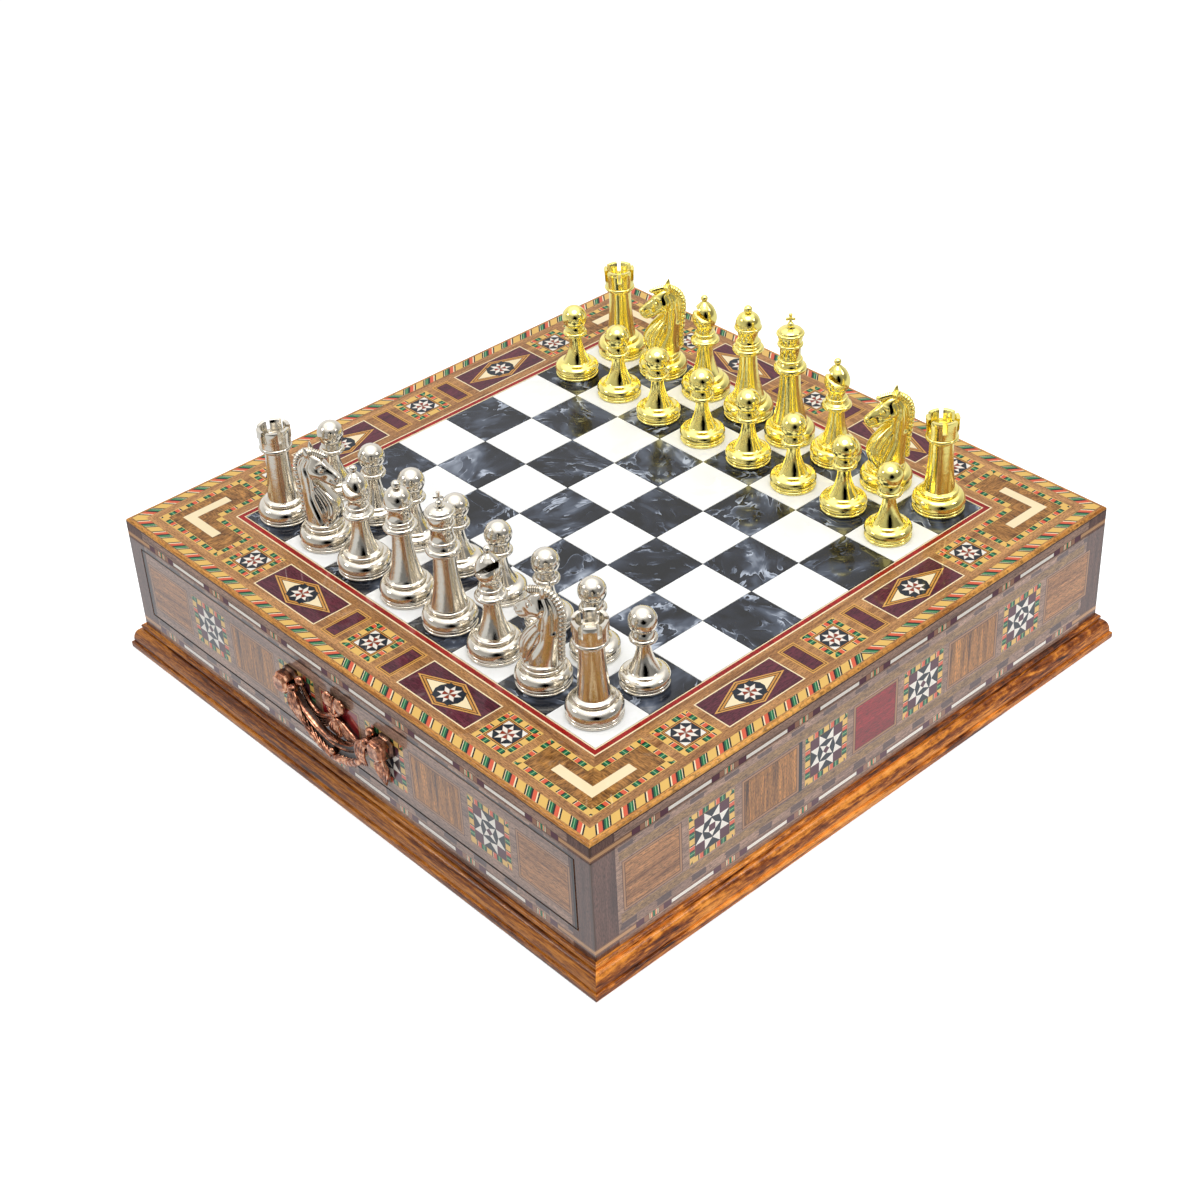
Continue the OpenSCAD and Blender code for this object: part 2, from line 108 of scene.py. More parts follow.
def piece(name, shell, material, body, replaces, sharp=40):
    """Makes a piece from a shell in millimetres, welds its seams and poles and rides it on a body."""
    vertices, faces = shell
    mesh = bpy.data.meshes.new(name)
    mesh.from_pydata((vertices * MM).tolist(), [], faces.tolist())
    work = bmesh.new()
    work.from_mesh(mesh)
    bmesh.ops.remove_doubles(work, verts=work.verts, dist=2e-6)
    bmesh.ops.dissolve_degenerate(work, edges=work.edges, dist=1e-7)
    bmesh.ops.recalc_face_normals(work, faces=work.faces)
    work.to_mesh(mesh)
    work.free()
    mesh.shade_smooth()
    mesh.set_sharp_from_angle(angle=math.radians(sharp))
    mesh.materials.append(material)
    obj = added(name, mesh)
    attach(obj, body)
    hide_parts(*replaces)


def arc(cx, cz, rx, rz, start, stop, count=12):
    """Points on an ellipse's arc between two angles in degrees."""
    a = np.radians(np.linspace(start, stop, count + 1))
    return np.stack([cx + rx * np.cos(a), cz + rz * np.sin(a)], 1)


def outline(parts):
    """One array of points from a list of stretches."""
    return np.concatenate([np.array(part, float) for part in parts])


def lathe(parts, segments=72):
    """An outline of points (radius, height) turned round the vertical axis."""
    a = np.linspace(0, 2 * np.pi, segments, endpoint=False)
    r, z = np.hsplit(outline(parts), 2)
    return grid(np.stack([r * np.cos(a), r * np.sin(a), z + 0 * a], -1), wrap_columns=True)


def square_ring(parts, wrap=True):
    """An outline of points (distance from the middle, height) carried round a square with mitred corners."""
    corners = np.array([[1, 1], [-1, 1], [-1, -1], [1, -1]])
    d, z = np.hsplit(outline(parts), 2)
    points = np.stack([d * corners[:, 0], d * corners[:, 1], z + 0 * corners[:, 0]], -1)
    return grid(points, wrap_rows=wrap, wrap_columns=True)


def curve_through(points, t):
    """Smooth curve through points, at shares t of its way: cubics between neighbours, with straight ends."""
    p = np.array(points, float)
    p = np.vstack([2 * p[0] - p[1], p, 2 * p[-1] - p[-2]])
    way = np.asarray(t) * (len(p) - 3)
    i = np.minimum(way.astype(int), len(p) - 4)
    f = (way - i)[:, None]
    a, b, c, d = p[i], p[i + 1], p[i + 2], p[i + 3]
    square, cube = 2 * a - 5 * b + 4 * c - d, 3 * b - 3 * c + d - a
    return (2 * b + (c - a) * f + square * f ** 2 + cube * f ** 3) / 2


def crowded(count):
    """Shares from 0 to 1 that crowd towards both ends."""
    return (1 - np.cos(np.linspace(0, np.pi, count))) / 2


def blunt(t, power=4):
    """Half widths from 0 through 1 to 0 along a form with rounded ends, blunter the higher the power."""
    return np.clip(1 - np.abs(2 * t - 1) ** power, 0, 1) ** (1 / power)


def tapered(t, start=0.5, stop=0.25):
    """Half widths that swell from a share at the start and sink to one at the stop, closed at both ends."""
    return blunt(t, 8) * (start + (stop - start) * t + (1 - (start + stop) / 2) * np.sin(np.pi * t))


def capped(points):
    """Adds a pole in the middle of the first row and of the last."""
    middles = points[[0, -1]].mean(1, keepdims=True) + 0 * points[[0, -1]]
    return np.concatenate([middles[:1], points, middles[1:]])


def sweep(path, across, over, side, count=14):
    """An oval carried along a path: over is half its size towards the side vector, across half its width."""
    tangent = np.gradient(path, axis=0)
    tangent /= np.linalg.norm(tangent, axis=1, keepdims=True) + 1e-9
    beside = np.cross(tangent, side)
    beside /= np.linalg.norm(beside, axis=1, keepdims=True) + 1e-9
    above = np.cross(beside, tangent)
    a = np.linspace(0, 2 * np.pi, count, endpoint=False)[None, :, None]
    ring = np.cos(a) * (across[:, None] * beside)[:, None] + np.sin(a) * (over[:, None] * above)[:, None]
    return grid(path[:, None] + ring, wrap_columns=True)


def sweep_at(x, y, z, across, over, count=14):
    """A sweep along a path of such coordinates, with its oval's height along Y."""
    return sweep(np.stack(np.broadcast_arrays(x, y, z), 1), across, over, (0, 1, 0), count)


# ---- shader expressions ----

def linear(colour):
    """Turns a screen's three values of 0 to 255 into the linear ones that a socket takes. All else stays."""
    if not isinstance(colour, tuple) or len(colour) != 3:
        return colour
    c = np.array(colour) / 255
    return (*np.where(c <= 0.04045, c / 12.92, ((c + 0.055) / 1.055) ** 2.4).tolist(), 1.0)


def operator(operation):
    """A Python operator that adds the Math node of this operation."""
    return lambda value, *others: value.math(operation, *others)


class Value:
    """A shader socket that takes part in Python expressions, each of which adds its Math node."""

    def __init__(self, shader, socket):
        self.shader = shader
        self.socket = socket

    def math(self, operation, *others):
        inputs = dict(enumerate((self, *others)))
        return self.shader.node("ShaderNodeMath", {"operation": operation}, inputs)

    __add__ = __radd__ = operator("ADD")
    __sub__ = operator("SUBTRACT")
    __mul__ = __rmul__ = operator("MULTIPLY")
    __truediv__ = operator("DIVIDE")
    __lt__ = operator("LESS_THAN")
    __gt__ = operator("GREATER_THAN")
    __abs__ = operator("ABSOLUTE")

    def __rsub__(self, other):
        return self.shader.node("ShaderNodeMath", {"operation": "SUBTRACT"}, {0: other, 1: self})

    def within(self, low, high):
        """1 where the value lies between two numbers, and 0 elsewhere."""
        return self.math("COMPARE", (low + high) / 2, (high - low) / 2)


class Shader:
    """The nodes of one material, or of the world."""

    def __init__(self, name, holder=None):
        self.material = holder or bpy.data.materials.new(name)
        self.material.use_nodes = True
        self.tree = self.material.node_tree
        self.tree.nodes.clear()
        place = self.node("ShaderNodeTexCoord", output="Object")
        self.place = self.node("ShaderNodeVectorMath", {"operation": "SCALE"}, {0: place, 3: 1 / MM})
        self.x, self.y, self.z = self.split(self.place)

    def node(self, kind, settings=None, inputs=None, output=0):
        """Adds a node: first its settings, then the values or links of its sockets. Returns one output."""
        node = self.tree.nodes.new(kind)
        for key, setting in (settings or {}).items():
            if key == "stops":
                self.set_stops(node.color_ramp, setting)
            elif key == "interpolation":
                node.color_ramp.interpolation = setting
            else:
                setattr(node, key, setting)
        for key, value in (inputs or {}).items():
            if isinstance(value, Value):
                self.tree.links.new(value.socket, node.inputs[key])
            else:
                node.inputs[key].default_value = linear(value)
        return Value(self, node.outputs[output]) if node.outputs else None

    @staticmethod
    def set_stops(ramp, stops):
        """Gives a ramp its stops, as pairs of a position and a colour."""
        while len(ramp.elements) < len(stops):
            ramp.elements.new(1)
        for element, (position, colour) in zip(ramp.elements, stops):
            element.position = position
            element.color = linear(colour)

    def split(self, vector):
        return [self.node("ShaderNodeSeparateXYZ", inputs={0: vector}, output=axis) for axis in range(3)]

    def vector(self, x, y, z):
        return self.node("ShaderNodeCombineXYZ", inputs={0: x, 1: y, 2: z})

    def least(self, a, b):
        return a.math("MINIMUM", b)

    def most(self, a, b):
        return a.math("MAXIMUM", b)

    def choose(self, mask, off, on):
        """One number where the mask is 0 and another where it is 1."""
        return self.node("ShaderNodeMix", {"data_type": "FLOAT"}, {0: mask, 2: off, 3: on})

    def rise(self, value, low, high, bottom=0.0, top=1.0):
        """A number that goes from bottom to top while the value goes from low to high, and stays beyond."""
        return self.node("ShaderNodeMapRange", inputs={0: value, 1: low, 2: high, 3: bottom, 4: top})

    def sides(self):
        """1 at the two sides across X, then the places along and across the nearest side, and outwards."""
        sideways = abs(self.x) > abs(self.y)
        return (sideways, self.choose(sideways, self.x, self.y), self.choose(sideways, self.y, self.x),
                self.most(abs(self.x), abs(self.y)))

    def paint(self, colour, *layers):
        """Lays layers over a colour in turn, each a colour and the mask that is 1 where it covers."""
        for layer, mask in layers:
            colour = self.node("ShaderNodeMix", {"data_type": "RGBA"}, {0: mask, 6: colour, 7: layer}, 2)
        return colour

    def inlay(self, colour, distance, *layers):
        """Lays layers in turn, each a colour and the distance under which it covers."""
        return self.paint(colour, *((layer, distance < edge) for layer, edge in layers))

    def shade(self, colour, tone):
        """Multiplies a colour by a number."""
        return self.node("ShaderNodeMix", {"data_type": "RGBA", "blend_type": "MULTIPLY"},
                         {0: 1.0, 6: colour, 7: self.vector(tone, tone, tone)}, 2)

    def ramp(self, value, stops, interpolation="LINEAR"):
        return self.node("ShaderNodeValToRGB", {"stops": stops, "interpolation": interpolation}, {0: value})

    def noise(self, vector, scale, detail=3.0, roughness=0.55, distortion=0.0):
        return self.node("ShaderNodeTexNoise", inputs={
            "Vector": vector, "Scale": scale, "Detail": detail, "Roughness": roughness,
            "Distortion": distortion})

    def pointiness(self):
        """Under a half in the surface's hollows and over it on its edges."""
        return self.node("ShaderNodeNewGeometry", output="Pointiness")

    def bump(self, height, distance, strength=1.0):
        return self.node("ShaderNodeBump", inputs={
            "Height": height, "Distance": distance * MM, "Strength": strength})

    def mixed(self, factor, off, on):
        """One surface where the factor is 0 and another where it is 1."""
        return self.node("ShaderNodeMixShader", inputs={0: factor, 1: off, 2: on})

    def by_ray(self, kind, others, this):
        """One surface for this kind of ray, Camera or Glossy, and another for the others."""
        return self.mixed(self.node("ShaderNodeLightPath", output=f"Is {kind} Ray"), others, this)

    def finish(self, **sockets):
        """Feeds the surface shader, whose sockets are named with underscores, and returns the material."""
        names = {key.replace("_", " "): value for key, value in sockets.items()}
        surface = self.node("ShaderNodeBsdfPrincipled", inputs=names)
        self.node("ShaderNodeOutputMaterial", inputs={0: surface})
        return self.material


# ---- veneers and patterns ----

# the woods' colours, as a screen shows them
GOLD = (228, 184, 98)
AMBER = (214, 158, 82)
CREAM = (246, 226, 184)
WHITE = (238, 230, 218)
RED = (216, 92, 62)
GREEN = (10, 96, 58)
PALE_GREEN = (126, 180, 126)
BLACK = (26, 24, 24)
NAVY = (26, 34, 44)
PLUM = (84, 36, 52)
RUST = (140, 46, 22)
BUFF = (150, 106, 82)
LINE = (70, 40, 22)

TOP_WALNUT = ((112, 66, 34), (202, 148, 92), 0.16)
ROW_MID, ROW_HALF = 37.4, 15.3

LACQUER = {"Roughness": 0.34, "Specular_IOR_Level": 0.3, "Coat_Weight": 1.0, "Coat_Roughness": 0.025}
TOP_LACQUER = {**LACQUER, "Specular_IOR_Level": 0.08, "Coat_Weight": 0.35}


def grain(sh, along, across, offset, dark, light, figure=0.12, stretch=0.07):
    """Wood colour: slow streaks drawn out along the board, fine fibres over them, and short dark pores."""
    streaks = sh.noise(sh.vector(along * stretch, across, offset), figure, 4.0, 0.6, 0.6)
    fibres = sh.noise(sh.vector(along * 0.05, across, offset), 1.6, 3.0, 0.7)
    pores = sh.noise(sh.vector(along * 0.22, across, offset), 2.2, 2.0, 0.5)
    tone = sh.ramp(streaks * 0.6 + fibres * 0.4, [(0.36, dark), (0.62, light)])
    return sh.shade(tone, 1.16 - sh.rise(pores, 0.44, 0.68, 0.0, 0.7))


def beads(sh, along):
    """The little blocks of a bead strip: gold, red and green with black slips between."""
    period = 11.25
    return sh.ramp((along / period).math("FRACT"), [
        (0, GOLD), (0.29, BLACK), (0.36, CREAM), (0.39, RED), (0.59, BLACK), (0.65, GREEN),
        (0.75, PALE_GREEN), (0.79, GREEN), (0.90, BLACK), (0.96, GOLD)], "CONSTANT")


def slanted_bars(sh, along, across):
    """The rope-like outer band: slanted bars of green, red and gold between black slips."""
    period, slope = 15.2, 0.8
    phase = (along - across * slope - 1.4) / period
    return sh.ramp(phase.math("FRACT"), [
        (0, BLACK), (0.065, CREAM), (0.09, GREEN), (0.17, PALE_GREEN), (0.20, GREEN), (0.27, BLACK),
        (0.345, RED), (0.515, CREAM), (0.57, BLACK), (0.635, GOLD)], "CONSTANT")


def frame_distance(sh, u, v, half_u, half_v):
    """How far a point lies outside a rectangle; inside it the number is negative."""
    return sh.most(abs(u) - half_u, abs(v) - half_v)


def eight_point_star(sh, colour, u, v, radius, corners):
    """A star of eight pale petals on a dark ground; the inner halves of every other petal are rust."""
    c, s = math.cos(math.pi / 8), math.sin(math.pi / 8)
    p, q = sh.most(abs(u), abs(v)), sh.least(abs(u), abs(v))
    along, across = p * c + q * s, abs(q * c - p * s)
    half_long, half_wide = 0.5 * radius, 0.207 * radius
    from_middle = abs(along / half_long - 1)
    petal = across / half_wide + from_middle < 1
    seam = petal * (across > half_wide * (1 - from_middle) - 0.18)
    every_other = abs((abs(u) > abs(v)) - (u * v > 0))
    inside = p < radius
    return sh.paint(colour, (NAVY, inside), (WHITE, inside * corners), (WHITE, petal),
                    (RUST, petal * every_other * (along < half_long)), ((150, 120, 104), seam))


def top_marquetry():
    """Mosaic round the board: corner chevrons, star squares, lozenge panels, small bars and a rope band."""
    sh = Shader("mosaic")
    zone_mid, zone_half = 161.75, 12.15
    star_at, star_r, small_r = 102.6, 6.9, 6.3
    panel_at, panel_half, lozenge_long, lozenge_wide, lozenge_in = 59.6, 26, 24, 10.5, 9.6
    bar_at, bar_half, corner_from, chevron_from = 22.4, 5.8, 119.8, 136.5
    rope_mid, rope_half = 181.7, 2.7
    bead_w, border, line_w = 3.9, 0.45, 0.5

    _, along, across, out = sh.sides()
    b = sh.least(abs(sh.x), abs(sh.y))
    v = out - zone_mid
    plum = grain(sh, along, across, 3.0, (66, 24, 38), (106, 44, 58), 0.2)

    # corner: a bead frame round an L of figured walnut with a cream chevron in it
    corner = out.within(zone_mid - zone_half, zone_mid + zone_half) * (b > corner_from)
    burl = grain(sh, across * 0.8, along * 0.6, 6.0, (92, 54, 20), (186, 130, 66), 0.3, 0.5)
    chevron = out.within(159, 164.6) * (b > chevron_from)
    outer_edge = zone_mid + zone_half - out
    inner_edge = sh.most(out - (zone_mid - zone_half), (b > zone_mid - zone_half) * 40)
    end_edge = b - corner_from
    edge = sh.least(sh.least(outer_edge, inner_edge), end_edge)
    strip = corner * (edge < bead_w)
    run = sh.choose(end_edge < sh.least(outer_edge, inner_edge), b, out)
    colour = sh.paint(
        grain(sh, along, across, 0.0, *TOP_WALNUT),
        (burl, corner), (CREAM, chevron), (GOLD, strip),
        (beads(sh, run), strip * edge.within(border, bead_w - border)),
        (LINE, corner * edge.within(bead_w - 0.1, bead_w + 0.25)))

    # star squares at the middle of each side and beside each corner
    u = sh.least(b, abs(b - star_at))
    tile = frame_distance(sh, u, v, zone_half, zone_half)
    run = sh.choose(abs(v) > u, v + 3, b)
    colour = sh.paint(colour, (GOLD, tile < 0), (beads(sh, run), tile.within(border - bead_w, -border)))
    colour = sh.inlay(colour, tile, (LINE, -bead_w), ((206, 140, 62), -bead_w - line_w),
                      (LINE, -bead_w - 2 * line_w))

    # lozenge panels
    w = b - panel_at
    panel = frame_distance(sh, w, v, panel_half, zone_half)
    lozenge = (abs(w) / lozenge_long + abs(v) / lozenge_wide - 1) * lozenge_in
    colour = sh.inlay(colour, panel, (CREAM, 0), (plum, -0.7))
    colour = sh.inlay(colour, lozenge, (AMBER, 0), (LINE, -0.8), ((200, 140, 66), -1.3), (LINE, -2.3),
                      (CREAM, -2.7))
    colour = sh.paint(colour, (NAVY, (lozenge < -2.7) * (abs(w) < 8.6) * (abs(w) + abs(v) * 0.6 < 9.6)))

    # the stars themselves
    in_lozenge = abs(w) < 20
    star_b = sh.choose(in_lozenge, sh.choose(b < panel_at, b - star_at, along), w)
    corners = (abs(star_b) + abs(v) > 10) * (1 - in_lozenge)
    starry = eight_point_star(sh, colour, star_b, v, star_r, corners)
    reach = sh.choose(in_lozenge, star_r, small_r)
    colour = sh.paint(colour, (starry, sh.most(abs(star_b), abs(v)) < reach))

    # small bars beside the middle stars, and the rope band
    bar = frame_distance(sh, b - bar_at, v, bar_half, zone_half)
    rope = abs(out - rope_mid) - rope_half
    colour = sh.inlay(colour, bar, (AMBER, 0), (LINE, -0.8), ((208, 150, 74), -1.2), (LINE, -1.9),
                      (plum, -2.3))
    colour = sh.paint(colour, (slanted_bars(sh, b, out - rope_mid), rope < 0))
    return sh.finish(Base_Color=colour, **TOP_LACQUER)


def side_veneer(sh, t, right, depth):
    """The sides' brown ground with rows of dark patches and pale flecks, and two bands of slips and bars."""
    patch_half, fleck_at, fleck_end, post_from, edge_from = 11.3, 18.8, 170, 172, 186.2
    slip_at, slip_w, opening_mid, opening_half, opening_h, gap_w = 50.9, 3, 37.1, 174.5, 22.2, 1.5
    low_band, high_band, bar_from = (66.5, 20.9, -23.1), (9.2, 25.9, -23.3), 11.3

    patch = (t - 4).math("PINGPONG", patch_half) > sh.noise(sh.vector(t, depth, 0.0), 0.4) * 4 + 4.6
    patch_rows = (abs(depth - 61.4) < 2.0) + (abs(depth - 13.9) < 1.3)
    flecks = grain(sh, t * 1.6, depth * 1.6, 9.0, (76, 52, 36), (178, 138, 84), 0.5, 0.4)
    fleck_rows = (abs(abs(depth - ROW_MID) - fleck_at) < 2.6) * (abs(t) < fleck_end) * right
    plain = grain(sh, depth, t, 5.0, (70, 46, 40), (112, 78, 66), 0.2)
    slip = right * (abs(t + slip_at) < slip_w / 2) * (abs(depth - ROW_MID) < ROW_HALF + 0.2)
    opening = frame_distance(sh, t, depth - opening_mid, opening_half, opening_h)
    # painted shade: a near-black line where the gap runs round the drawer's opening on the front
    drawer_gap_shade = (abs(opening) < gap_w / 2) * (1 - right)
    colour = sh.paint(
        grain(sh, t, depth, 1.0, (106, 82, 72), (176, 140, 118), 0.22),
        ((66, 50, 54), patch * patch_rows * 0.75), (flecks, fleck_rows * 0.8),
        (plain, abs(t) > post_from), (LINE, abs(t) > edge_from), (NAVY, slip), ((24, 12, 10), drawer_gap_shade))

    # bands: the depth, and where the slips stand on the front and on the right
    white_bar = sh.paint(WHITE, ((188, 142, 98), abs(t) > 160))
    half = sh.choose(right, 25.75, 25.35)
    for band_mid, front_at, side_at in (high_band, low_band):
        m = half - (t - sh.choose(right, front_at, side_at)).math("PINGPONG", half)
        slips = sh.ramp(m / 25.4, [
            (0, GREEN), (0.02, PALE_GREEN), (0.035, RED), (0.06, CREAM), (0.075, BLACK), (0.09, CREAM),
            (0.11, BLACK), (0.125, BUFF), (0.245, PLUM), (0.445, LINE)], "CONSTANT")
        w = abs(depth - band_mid)
        slips_at = (w < 1.7) * (m < bar_from) + (w < 1.35) * (m > bar_from)
        colour = sh.paint(colour, (LINE, w < 1.95), (BUFF, w < 1.7), (slips, slips_at),
                          (white_bar, (w < 1.05) * (m > bar_from + 0.2)))
    return colour


def side_marquetry(name):
    """The box's sides: bar bands above and below a row of framed panels and star tiles."""
    sh = Shader(name)
    right = abs(sh.x) > HALF - 0.2
    t = sh.choose(right, sh.x, sh.y)
    depth = BOARD_Z - sh.z
    u = abs(t - sh.choose(right, 0.5, 3.8))
    v = depth - ROW_MID
    colour = side_veneer(sh, t, right, depth)

    # framed panels: middle, half width and veneer
    for middle, half, fill in (
            (153.3, 18.9, grain(sh, t, sh.z, 12.0, (100, 58, 32), (192, 134, 82), 0.2)),
            (75.1, 19.8, grain(sh, sh.z, t, 15.0, (70, 40, 24), (204, 138, 68), 0.3)),
            (0, 16.6, grain(sh, t, sh.z, 18.0, (112, 12, 20), (164, 34, 40), 0.2))):
        edge = frame_distance(sh, u - middle, v, half, ROW_HALF)
        colour = sh.inlay(colour, edge, (LINE, 0), ((164, 120, 86), -0.35), (LINE, -1.6), (fill, -1.95))

    # star tiles: two white triangles in every arm, and a small square or a diamond in the heart
    inner_at, outer_at, tile_half, star_half, heart = 36.1, 114.8, 15.4, 11, 6.4
    arm_u = sh.least(abs(u - inner_at), abs(u - outer_at))
    p, q = sh.most(arm_u, abs(v)), sh.least(arm_u, abs(v))
    tile = p - tile_half
    star = p < star_half
    run = sh.choose(abs(v) > arm_u, v, t)
    triangles = (p > heart - q * 0.27) * (q > (p - heart) * 1.04) * star
    straight = (p < 5.4) * (q < (5.4 - p) * 0.64)
    diagonal = (p + q < 8.9) * (p - q < (8.9 - p - q) * 0.35) * (p < 5)
    square = right * (abs(u - outer_at) < 20)
    colour = sh.paint(
        colour, ((164, 128, 88), tile < 0), (beads(sh, run), tile.within(-3.8, -0.5)),
        (LINE, p < star_half + 0.4), (NAVY, star), (WHITE, triangles),
        (WHITE, sh.choose(square, diagonal, straight)), (PLUM, star * (q > 5)),
        (PLUM, sh.choose(square, p + q, p * 1.1) < 2.3))

    # only the outer faces carry the pattern; painted light makes the right side's colours about a third
    # brighter than the front's
    out = sh.most(abs(sh.x), abs(sh.y))
    plain = grain(sh, t, sh.z, 21.0, (92, 56, 36), (160, 112, 76), 0.2)
    colour = sh.paint(plain, (sh.shade(colour, 1.04 + right * 0.3), out > HALF - 0.2))
    return sh.finish(Base_Color=colour, **LACQUER)


def top_walnut():
    """The top board: walnut along the sides, a golden rim, pale lines between squares, veneered edges."""
    sh = Shader("walnut")
    sideways, along, across, out = sh.sides()
    depth = BOARD_Z - sh.z
    rim = grain(sh, along, across + sh.z, 8.0, (148, 84, 26), (226, 162, 78), 0.3)
    colour = sh.paint(
        grain(sh, along, across, 0.0, *TOP_WALNUT),
        (rim, out > MOSAIC_OUT - 0.6), ((176, 160, 116), out < 4 * SQUARE),
        (side_veneer(sh, along, sideways, depth), depth > 2.1), ((48, 26, 16), depth.within(1.8, 2.5)))
    return sh.finish(Base_Color=colour, **TOP_LACQUER)


def plinth_walnut():
    """The plinth's orange-brown walnut with long dark streaks; painted light: sides brighter, front and back
    darker.
    """
    sh = Shader("plinth_walnut")
    sideways, along, across, _ = sh.sides()
    board = sh.choose(sideways, 5.0, 9.0)
    streaks = sh.noise(sh.vector(along * 0.06, across * 0.5 + sh.z, board), 0.2, 5.0, 0.66, 0.8)
    fibres = sh.noise(sh.vector(along * 0.12, across + sh.z, board), 1.3, 3.0, 0.7)
    tone = sh.ramp(streaks * 0.62 + fibres * 0.38, [
        (0.38, (44, 18, 8)), (0.47, (124, 62, 16)), (0.57, (206, 128, 46)), (0.70, (236, 168, 84))])
    # painted light: the lengths at the sides are multiplied brighter and those at front and back darker
    return sh.finish(Base_Color=sh.shade(tone, 0.84 + sideways * 0.66), Roughness=0.3,
                     Specular_IOR_Level=0.2, Coat_Weight=0.3, Coat_Roughness=0.08)


def stringing_lines():
    """Red stringing between two cream lines."""
    sh = Shader("stringing")
    red = grain(sh, sh.x, sh.y, 0.0, (122, 5, 4), (176, 22, 14), 0.3)
    red_mid, red_half = 142.1, 1.3
    cream = abs(sh.most(abs(sh.x), abs(sh.y)) - red_mid) > red_half
    return sh.finish(Base_Color=sh.paint(red, (CREAM, cream)), **TOP_LACQUER)


def pearl(name, *tones):
    """Crumpled pearl foil in four tones, cut by folds painted with shade on one side and a highlight on the
    other.
    """
    sh = Shader(name)
    column = (sh.x / SQUARE).math("FLOOR")
    row = (sh.y / SQUARE).math("FLOOR")
    spot = sh.vector(sh.x + column * 61, sh.y + row * 47, column * 13 + row * 29)
    turned = sh.node("ShaderNodeVectorRotate", {"rotation_type": "Z_AXIS"}, {
        "Vector": spot, "Angle": column * 1.9 + row * 2.6})
    x, y, z = sh.split(turned)
    stretched = sh.vector(x * 0.6, y, z)
    soft = sh.noise(stretched, 0.055, 3.0, 0.5, 0.6)
    folds = sh.noise(stretched, 0.075, 4.0, 0.5, 1.4)
    # painted light: each fold gets a dark shaded edge beside a bright highlight
    relief = sh.ramp(folds, [(at, (level, level, level, 1)) for at, level in (
        (0.30, 0.4), (0.494, 0.12), (0.506, 0.95), (0.56, 0.5), (0.7, 0.4))])
    strength = sh.rise(sh.noise(spot, 0.09, 1.0), 0.42, 0.62)
    tone = soft + (relief - 0.4) * strength * 0.55
    colour = sh.ramp(tone, list(zip((0.34, 0.48, 0.62, 0.84), tones)))
    return sh.finish(Base_Color=colour, Roughness=0.22, Specular_IOR_Level=0.1, Coat_Weight=0.5,
                     Coat_Roughness=0.01)


def polished_metal(name, colour, hollow):
    """Cast and polished metal, with painted shade in its hollows and faint waves and grit left by the
    casting.
    """
    sh = Shader(name)
    waves = sh.noise(sh.place, 0.35, 3.0)
    grit = sh.noise(sh.place, 2.4, 2.0)
    # painted shade: the hollows and creases take the dark hollow colour
    base = sh.paint(hollow, (colour, sh.rise(sh.pointiness(), 0.36, 0.47)))
    return sh.finish(Base_Color=base, Metallic=1.0, Roughness=waves * 0.06 + grit * 0.08 + 0.03,
                     Normal=sh.bump(waves * 0.8 + grit * 0.36, 0.26, 0.3))


def antique_copper(name, floor, crest):
    """Lacquered brown copper, near black in hollows (patina and painted shade) and, as painted shade,
    between the drawer's face and its floor height.
    """
    sh = Shader(name)
    # dark patina and painted shade in the hollows, and a little brighter on the edges
    open_air = sh.rise(sh.pointiness(), 0.43, 0.53, 0.12, 1.1)
    # painted shade: darker the nearer a part lies to the drawer's face, near black below the floor height
    raised = sh.rise(abs(sh.y) - HALF, floor, crest, 0.1, 1.0)
    patches = sh.noise(sh.place, 0.3, 2.0)
    base = sh.ramp(patches, [(0.36, (110, 62, 42)), (0.52, (186, 120, 86)), (0.66, (244, 186, 148))])
    return sh.finish(Base_Color=sh.shade(base, open_air * raised), Metallic=1.0,
                     Roughness=0.08 + patches * 0.1, Coat_Weight=0.7, Coat_Roughness=0.05)


def inner_wood():
    """Plain unpolished hardwood inside the box and drawers."""
    sh = Shader("inner_wood")
    colour = grain(sh, sh.y, sh.z, sh.x * 0.4, (168, 126, 82), (198, 156, 106), 0.12)
    return sh.finish(Base_Color=colour, Roughness=0.6)


def velvet():
    """Burgundy flock, paler where its pile is brushed."""
    sh = Shader("velvet")
    brushed = sh.noise(sh.place, 0.06, 3.0)
    pile = sh.noise(sh.place, 5.0, 2.0)
    colour = sh.ramp(brushed * 0.6 + pile * 0.4, [(0.3, (70, 8, 18)), (0.7, (128, 26, 40))])
    return sh.finish(Base_Color=colour, Roughness=0.95, Normal=sh.bump(pile, 0.2), Sheen_Weight=0.6,
                     Sheen_Roughness=0.4)


def steel():
    """Plated steel of the screws."""
    sh = Shader("steel")
    spots = sh.noise(sh.place, 1.5, 3.0)
    colour = sh.ramp(spots, [(0.3, (120, 118, 114)), (0.7, (178, 176, 170))])
    return sh.finish(Base_Color=colour, Metallic=1.0, Roughness=spots * 0.2 + 0.25)


MATERIALS = {
    "walnut": top_walnut(),
    "mosaic": top_marquetry(),
    "marquetry_front": side_marquetry("marquetry_front"),
    "marquetry_side": side_marquetry("marquetry_side"),
    "plinth_walnut": plinth_walnut(),
    "stringing": stringing_lines(),
    "square_light": pearl("square_light", (250, 250, 247), (252, 252, 251), (253, 253, 252),
                          (254, 254, 254)),
    "square_dark": pearl("square_dark", (14, 16, 20), (34, 38, 48), (78, 86, 101), (186, 194, 208)),
    # the second colour of each metal is its painted shade in hollows
    "silver": polished_metal("silver", (222, 215, 202), (46, 34, 24)),
    "gold": polished_metal("gold", (252, 236, 142), (92, 62, 4)),
    "copper": antique_copper("copper", 0.0, 3.0),
    "inner_wood": inner_wood(),
    "velvet": velvet(),
    "steel": steel(),
}

for part in frame["record"]["subparts"]:
    mesh = frame["nodes"][part["node"]].data
    mesh.materials.clear()
    mesh.materials.append(MATERIALS[part["material_slot"]])


# ---- chessmen ----

